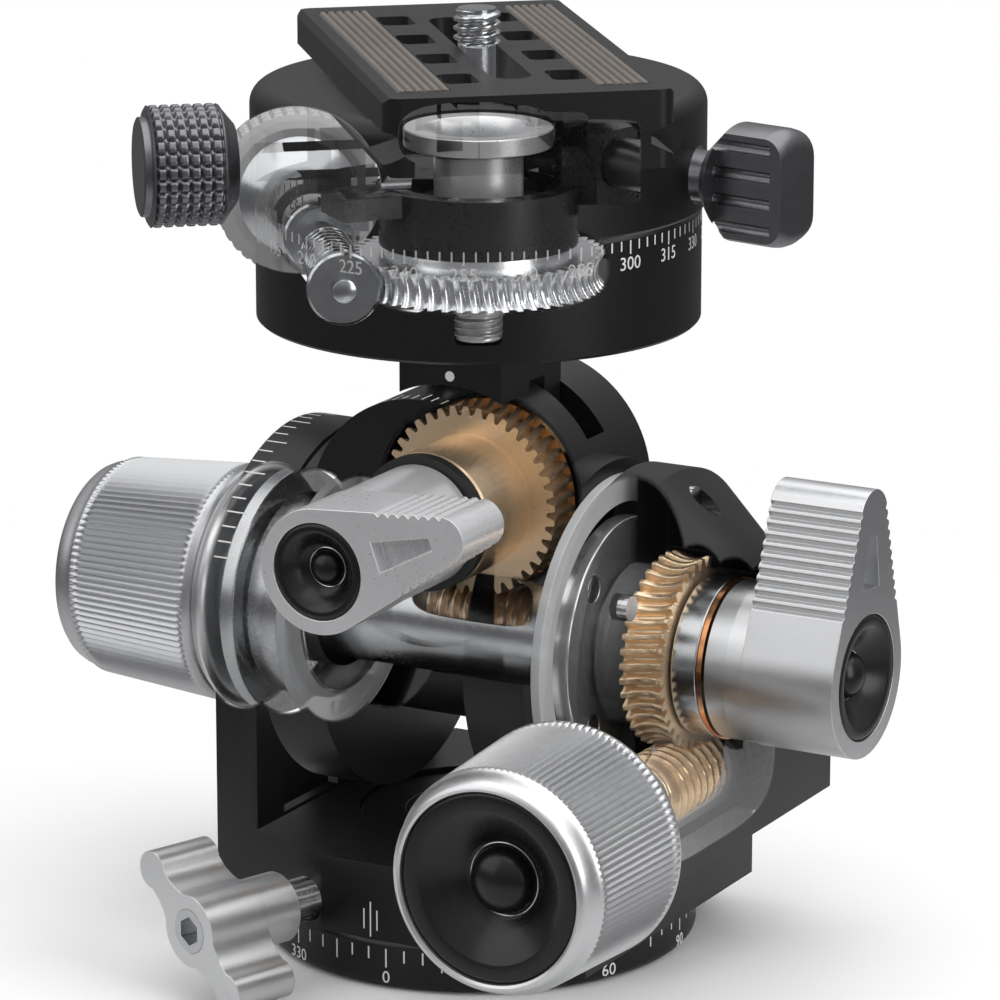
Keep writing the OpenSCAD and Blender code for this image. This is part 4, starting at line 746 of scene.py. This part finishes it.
def worm_wheel(where, middle, width, teeth, root, tip, hug, distance, bore, lean, phase):
    """Toothed ring. The tip follows a circle of radius hug round the worm at the given distance, and
    the teeth lean by that many tooth pitches across the width."""
    w = np.linspace(-width / 2, width / 2, 13)[:, None]
    angle = (np.arange(teeth * 18) * TURN / (teeth * 18))[None, :]
    throat = np.minimum(distance - np.sqrt(np.maximum(hug**2 - w**2, 0.01)), tip)
    depth = np.minimum(throat - root, 1.25)
    radius = throat - depth * (1 - tooth_wave(teeth * angle / TURN + lean * w / width + phase, 0.30, 0.24))
    inner = np.full((1, angle.shape[1]), bore)
    radius = np.vstack([inner, radius, inner])
    along = middle + np.vstack([w[:1], w, w[-1:]]) * np.ones_like(angle)
    return grid_mesh(points(where, radius * np.cos(angle), radius * np.sin(angle), along), closed_rows=True)


PITCH = np.pi * 0.62
WORM_FRAMES = {
    "worm_a": (place((0, 0, AXIS_B), (1, 0, 0)), "upper_worm", (-50.0, 19.0)),
    "worm_b": (place(WORM_B, (0, 1, 0)), "lower_worm", (-42.0, 26.0)),
}
for name, (where, body, (low, high)) in WORM_FRAMES.items():
    bm = helix(where, -12.0, 12.0, 4.2, 5.3, PITCH, 0.0, around=72)
    finish_mesh(name + "_thread", bm, body, [name], BRONZE)
    shaft = [[low, 0], [low, 3.1], [low + 0.4, 3.5], [-13.0, 3.5], [-12.6, 4.1], [12.6, 4.1], [13.0, 3.5],
             [high - 0.4, 3.5], [high, 3.1], [high, 0]]
    finish_mesh(name + "_shaft", turned(name, where, shaft, 72), body, None, STEEL)

gear = dict(width=6.0, teeth=40, root=11.6, tip=13.15, hug=4.75, distance=17.2, lean=0.45)
bm = worm_wheel(AT_A, -0.3, bore=6.03, phase=0.5, **gear)
hub = [[0, 6.03], [2.7, 6.03], [13.6, 6.03], [13.9, 6.4], [14.0, 9.0], [13.7, 9.28], [2.7, 9.28], [0, 9.28]]
hub_bm = turned("hub", AT_A, hub, 96)
finish_mesh("gear_a_teeth", bm, "tilt_head", ["gear_a"], BRONZE)
finish_mesh("gear_a_hub", hub_bm, "tilt_head", None, BRONZE)
finish_mesh("gear_b_teeth", worm_wheel(AT_B, 31.4, bore=8.03, phase=0.5, **gear), "cradle", ["gear_b"],
            BRONZE)
AT_WHEEL = place((0, 0, 0), UP, compass(PAN_WORM_AZ + 90))
bm = worm_wheel(AT_WHEEL, WORM_Z, 4.7, 52, 15.3, 17.4, 3.3, 19.32, 12.4, 0.45, 0.5)
finish_mesh("pan_wheel_teeth", bm, "pan_head", ["pan_worm_wheel"], GLASSY)
rim = [[92.9, 10.6], [94.95, 10.6], [96.2, 10.6], [96.2, 12.5], [95.2, 12.7], [92.9, 12.7]]
finish_mesh("pan_wheel_hub", grid_mesh(points(AT_PAN, *ring_grid(rim, 128)), closed_rows=True), "pan_head", None,
            GLASSY)
print("worms and wheels made, pitch", round(PITCH, 3), "mm")

# %% Pan worm with its flanges
bm = helix(AT_PAN_WORM, -9.5, 12.5, 2.7, 3.75, PITCH, 0.25)
finish_mesh("pan_worm_thread", bm, "pan_drive", ["pan_worm"], STEEL)
shaft = [
    [-12.2, 0], [-12.2, 1.4], [-12.05, 1.6], [-10.7, 1.6], [-10.7, 4.6], [-10.4, 4.9], [-9.4, 4.9], [-9.2, 4.7],
    [-9.2, 2.6], [12.6, 2.6], [13.5, 2.4], [21.6, 2.4], [21.8, 4.6], [22.1, 4.9], [22.9, 4.9], [23.2, 4.6],
    [32.6, 4.4], [44.0, 4.4], [48.0, 5.6], [50.4, 8.6], [50.5, 8.6], [50.5, 0],
]
finish_mesh("pan_worm_shaft", turned("pan_shaft", AT_PAN_WORM, shaft, 96), "pan_drive", None, STEEL)


# %% Camera screw and the axle's stud
bm = helix(AT_SCREW, 122.7, 127.7, 2.55, 3.15, 1.27, 0.0, around=64, step=0.12)
finish_mesh("camera_screw_thread", bm, "plate_screw", ["camera_screw"], STEEL)
head = [[112.9, 0], [112.9, 5.0], [113.2, 5.35], [115.2, 5.35], [115.4, 5.1], [115.4, 2.5], [122.8, 2.5], [122.8, 0]]
finish_mesh("camera_screw_head", turned("head", AT_SCREW, head, 96), "plate_screw", None, SCREW)
# The stud's thread takes the lit copy of the aluminium: painted light.
bm = helix(AT_PAN, 82.95, 89.2, 3.02, 3.45, 1.0, 0.0, around=48, step=0.12)
finish_mesh("axle_stud_thread", bm, "tilt_head", None, LIT_COPY_SILVER)


# %% [markdown]
# ## Rubber pads
# Each pad has six ribs along the plate, crossed by fine serrations, which is a height that depends on
# the two directions of the plate.

# %% Ribbed pads
def ribbed_pad(side):
    """Closed slab whose top height is a rib wave across times a fine saw wave along."""
    across = np.linspace(9.55, 16.45, 97)
    along = np.linspace(-29.95, 29.95, 420)
    u, v = np.meshgrid(across, along)
    rib = np.minimum(1, 1.9 * (1 - ridges((across - 9.55) / 1.15)))
    saw = ridges(along / 0.62)
    top = 122.35 + 0.5 * rib[None, :] * (0.72 + 0.28 * saw[:, None])
    loop_u = np.hstack([u[:, :1], u, u[:, -1:]])
    loop_v = np.hstack([v[:, :1], v, v[:, -1:]])
    floor = np.full((len(along), 1), 122.12)
    loop_z = np.hstack([floor, top, floor])
    middle = np.full((1, loop_u.shape[1]), across.mean())
    ends = [np.full_like(middle, along[0]), np.full_like(middle, along[-1])]
    loop_u = np.vstack([middle, loop_u, middle])
    loop_v = np.vstack([ends[0], loop_v, ends[1]])
    loop_z = np.vstack([np.full_like(middle, 122.2), loop_z, np.full_like(middle, 122.2)])
    return points(AT_PLATE, side * loop_u, loop_v, loop_z)


for label, side in (("left", -1), ("right", 1)):
    replaced = ["plate_pads"] if side == 1 else None
    finish_mesh("ribbed_pad_" + label, grid_mesh(ribbed_pad(side)), "plate", replaced, PAD)


# %% [markdown]
# ## Scales
# The ticks and numbers are thin white shapes wrapped round the part that carries them. A tick is a
# small box; a number is Blender's own plain font made into a mesh and bent round the cylinder.

# %% Ticks and numbers
PROUD = 0.02


BOX_FACES = [[0, 1, 2, 3], [4, 5, 6, 7], [0, 1, 5, 4], [1, 2, 6, 5], [2, 3, 7, 6], [3, 0, 4, 7]]


def boxes(where, radius, ticks):
    """Grid boxes for ticks given as (angle, low, high, width), wrapped on a cylinder."""
    vertices, faces = [], []
    corner = np.array([[0, 0], [1, 0], [1, 1], [0, 1]])
    for angle, low, high, width in ticks:
        a = np.radians(angle) + (corner[:, 0] - 0.5) * width / radius
        s = low + (high - low) * corner[:, 1]
        base = len(vertices) * 4
        for r in (radius - 0.05, radius + PROUD):
            vertices.append(points(where, r * np.cos(a), r * np.sin(a), s))
        faces += [[base + i for i in q] for q in BOX_FACES]
    return np.vstack(vertices), faces


def lettering(where, radius, labels, size, turn_over=1):
    """Numbers given as (text, angle, middle place), wrapped on a cylinder."""
    vertices, faces, count = [], [], 0
    for text, angle, middle in labels:
        curve = bpy.data.curves.new("digits", "FONT")
        curve.body = text
        curve.size = size
        curve.extrude = 0.03
        curve.align_x, curve.align_y = "CENTER", "CENTER"
        curve.resolution_u = 3
        holder = bpy.data.objects.new("digits", curve)
        bpy.context.scene.collection.objects.link(holder)
        bpy.context.view_layer.update()
        mesh = bpy.data.meshes.new_from_object(holder)
        xyz = np.zeros(len(mesh.vertices) * 3)
        mesh.vertices.foreach_get("co", xyz)
        xyz = xyz.reshape(-1, 3)
        a = np.radians(angle) + turn_over * xyz[:, 0] / radius
        r = radius + xyz[:, 2]
        vertices.append(points(where, r * np.cos(a), r * np.sin(a), middle + turn_over * xyz[:, 1]))
        faces += [[count + i for i in p.vertices] for p in mesh.polygons]
        count += len(xyz)
        bpy.data.objects.remove(holder)
    return np.vstack(vertices), faces


def printed(name, parts, body, material=PRINT):
    """Joins wrapped shapes to one white piece."""
    bm = bmesh.new()
    for vertices, faces in parts:
        made = [bm.verts.new(v) for v in vertices]
        for f in faces:
            bm.faces.new([made[i] for i in f])
    return finish_mesh(name, bm, body, None, material, smooth=False)


def degrees_scale(zero, step, long_step, low, short, long, width=0.22, span=360):
    """Ticks every step degrees from a low place, longer at each long_step."""
    return [(zero + d, low, long if d % long_step == 0 else short, width) for d in range(0, span, step)]


BASE_ZERO = -85.6
base_ticks = degrees_scale(BASE_ZERO, 5, 15, 5.6, 3.9, 3.0)
base_numbers = [(str(d), BASE_ZERO + d, 1.55) for d in range(0, 360, 30)]
base_shapes = [boxes(AT_PAN, BASE_R, base_ticks), lettering(AT_PAN, BASE_R, base_numbers, 2.4)]
printed("base_scale", base_shapes, "base")
drum_ticks = degrees_scale(PLATE_AZ, 3, 15, 101.2, 99.9, 99.4)
drum_numbers = [(str(d), PLATE_AZ + d, 98.1) for d in range(0, 360, 15)]
drum_shapes = [boxes(AT_PAN, DRUM_R, drum_ticks), lettering(AT_PAN, DRUM_R, drum_numbers, 2.5)]
printed("drum_scale", drum_shapes, "tilt_head", DRUM_PRINT)
wall_ticks = [(180 + 10 - d, 28.3, 26.2 if d % 15 else 25.2, 0.2) for d in range(-45, 76, 5)]
AT_WALL = place((0, 0, AXIS_B), (-1, 0, 0), (0, 0, -1))
printed("wall_scale", [boxes(AT_WALL, WALL_R, wall_ticks)], "fork")
roof_ticks = [(d, 15.6, 13.6 if d % 15 else 12.8, 0.2) for d in range(-40, 41, 5)]
printed("roof_scale", [boxes(AT_A, ROOF_R, roof_ticks)], "cradle", ROOF_PRINT)


# %% Flat marks on the fork and the support block
def flat_marks(name, rectangles, y, body):
    """Thin upright boxes on a face that looks to the front, given as (x0, x1, z0, z1)."""
    vertices, faces = [], []
    for x0, x1, z0, z1 in rectangles:
        base = len(vertices)
        for depth in (y + 0.05, y - PROUD):
            vertices += [(x0, depth, z0), (x1, depth, z0), (x1, depth, z1), (x0, depth, z1)]
        faces += [[base + i for i in q] for q in BOX_FACES]
    return printed(name, [(np.array(vertices) * MM, faces)], body)


flat_marks("index_lines", [(-1.1, -0.9, 8.0, 10.8), (-0.1, 0.1, 7.0, 11.9), (0.9, 1.1, 8.0, 10.8)], -30.0, "fork")
AT_DOT = place((0, 0, 79.3), (0, -1, 0))
dot = [[7.9, 0], [7.9, 0.72], [8.0 + PROUD, 0.7], [8.0 + PROUD, 0]]
finish_mesh("index_dot", turned("dot", AT_DOT, dot, 32), "tilt_head", None, PRINT)

# %% [markdown]
# ## Studio
# A pale floor, a white surround and three soft lamps. Metal needs something to reflect, so reflected
# rays meet a grey sky, dark at the level of the floor and paler above, and the camera sees plain white.

# %% Floor and backdrop
bm = bmesh.new()
bmesh.ops.create_grid(bm, x_segments=1, y_segments=1, size=4.0)
floor_mesh = bpy.data.meshes.new("floor")
bm.to_mesh(floor_mesh)
bm.free()
floor = bpy.data.objects.new("floor", floor_mesh)
bpy.context.scene.collection.objects.link(floor)
floor_material = bpy.data.materials.new("pale_floor")
floor_material.use_nodes = True
tree = floor_material.node_tree
shader = tree.nodes["Principled BSDF"]
shader.inputs["Roughness"].default_value = 0.9
shader.inputs["Specular IOR Level"].default_value = 0.1
away = node(tree, "VectorMath", {0: node(tree, "TexCoord").outputs["Object"]}, operation="LENGTH").outputs["Value"]
near = node(tree, "MapRange", {0: away, 1: 0.07, 2: 0.22, 3: 1.0, 4: 0.0}).outputs[0]
tree.links.new(near, shader.inputs["Alpha"])
shade = node(tree, "Mix", data_type="RGBA")
tree.links.new(node(tree, "LightPath").outputs["Is Camera Ray"], shade.inputs[0])
shade.inputs[6].default_value = (0.68, 0.68, 0.68, 1)
shade.inputs[7].default_value = (0.93, 0.93, 0.93, 1)
tree.links.new(shade.outputs[2], shader.inputs["Base Color"])
floor.data.materials.append(floor_material)
floor.location = (0, 0, -0.0002)

# %% World and lamps
world = bpy.data.worlds.new("studio")
bpy.context.scene.world = world
world.use_nodes = True
tree = world.node_tree
back = tree.nodes["Background"]
direction = node(tree, "TexCoord").outputs["Generated"]
height = node(tree, "SeparateXYZ", {0: direction}).outputs[2]
sky = node(tree, "ValToRGB", {"Fac": height})
sky.color_ramp.elements[0].position = 0.0
sky.color_ramp.elements[0].color = (0.15, 0.15, 0.155, 1)
sky.color_ramp.elements[1].position = 0.75
sky.color_ramp.elements[1].color = (0.62, 0.62, 0.63, 1)
path = node(tree, "LightPath")
rays = {0: path.outputs["Is Camera Ray"], 1: path.outputs["Is Transmission Ray"]}
seen = node(tree, "Math", rays, operation="MAXIMUM")
choice = node(tree, "Mix", data_type="RGBA")
tree.links.new(seen.outputs[0], choice.inputs[0])
tree.links.new(sky.outputs[0], choice.inputs[6])
choice.inputs[7].default_value = (1, 1, 1, 1)
tree.links.new(choice.outputs[2], back.inputs["Color"])
back.inputs["Strength"].default_value = 1.0


def lamp(name, spot, target, size, power):
    """Soft rectangular lamp that looks at a point, sizes in metres."""
    light = bpy.data.lights.new(name, "AREA")
    light.shape = "RECTANGLE"
    light.size, light.size_y = size
    light.energy = power
    holder = bpy.data.objects.new(name, light)
    bpy.context.scene.collection.objects.link(holder)
    holder.location = spot
    aim = np.asarray(target) - np.asarray(spot)
    holder.rotation_euler = Vector(aim).to_track_quat("-Z", "Y").to_euler()
    return holder


CENTRE = (0.0, 0.0, 0.065)
lamp("key_left", (-0.50, -0.50, 0.50), CENTRE, (0.75, 0.75), 1.7)
lamp("fill_right", (0.65, -0.15, 0.30), CENTRE, (0.35, 0.6), 2.0)
lamp("top", (0.05, 0.10, 0.75), CENTRE, (1.1, 1.1), 4.8)

# %% Camera
camera_data = bpy.data.cameras.new("camera")
camera_data.lens = 195.3
camera_data.sensor_width = 36.0
camera = bpy.data.objects.new("camera", camera_data)
bpy.context.scene.collection.objects.link(camera)
camera.location = tuple(EYE * MM)
camera.rotation_euler = (np.radians(90 - 14.940), 0, np.radians(28.744))
bpy.context.scene.camera = camera
bpy.context.scene.view_settings.view_transform = "Standard"

# %% Sizes and the end
low, high = cad_box
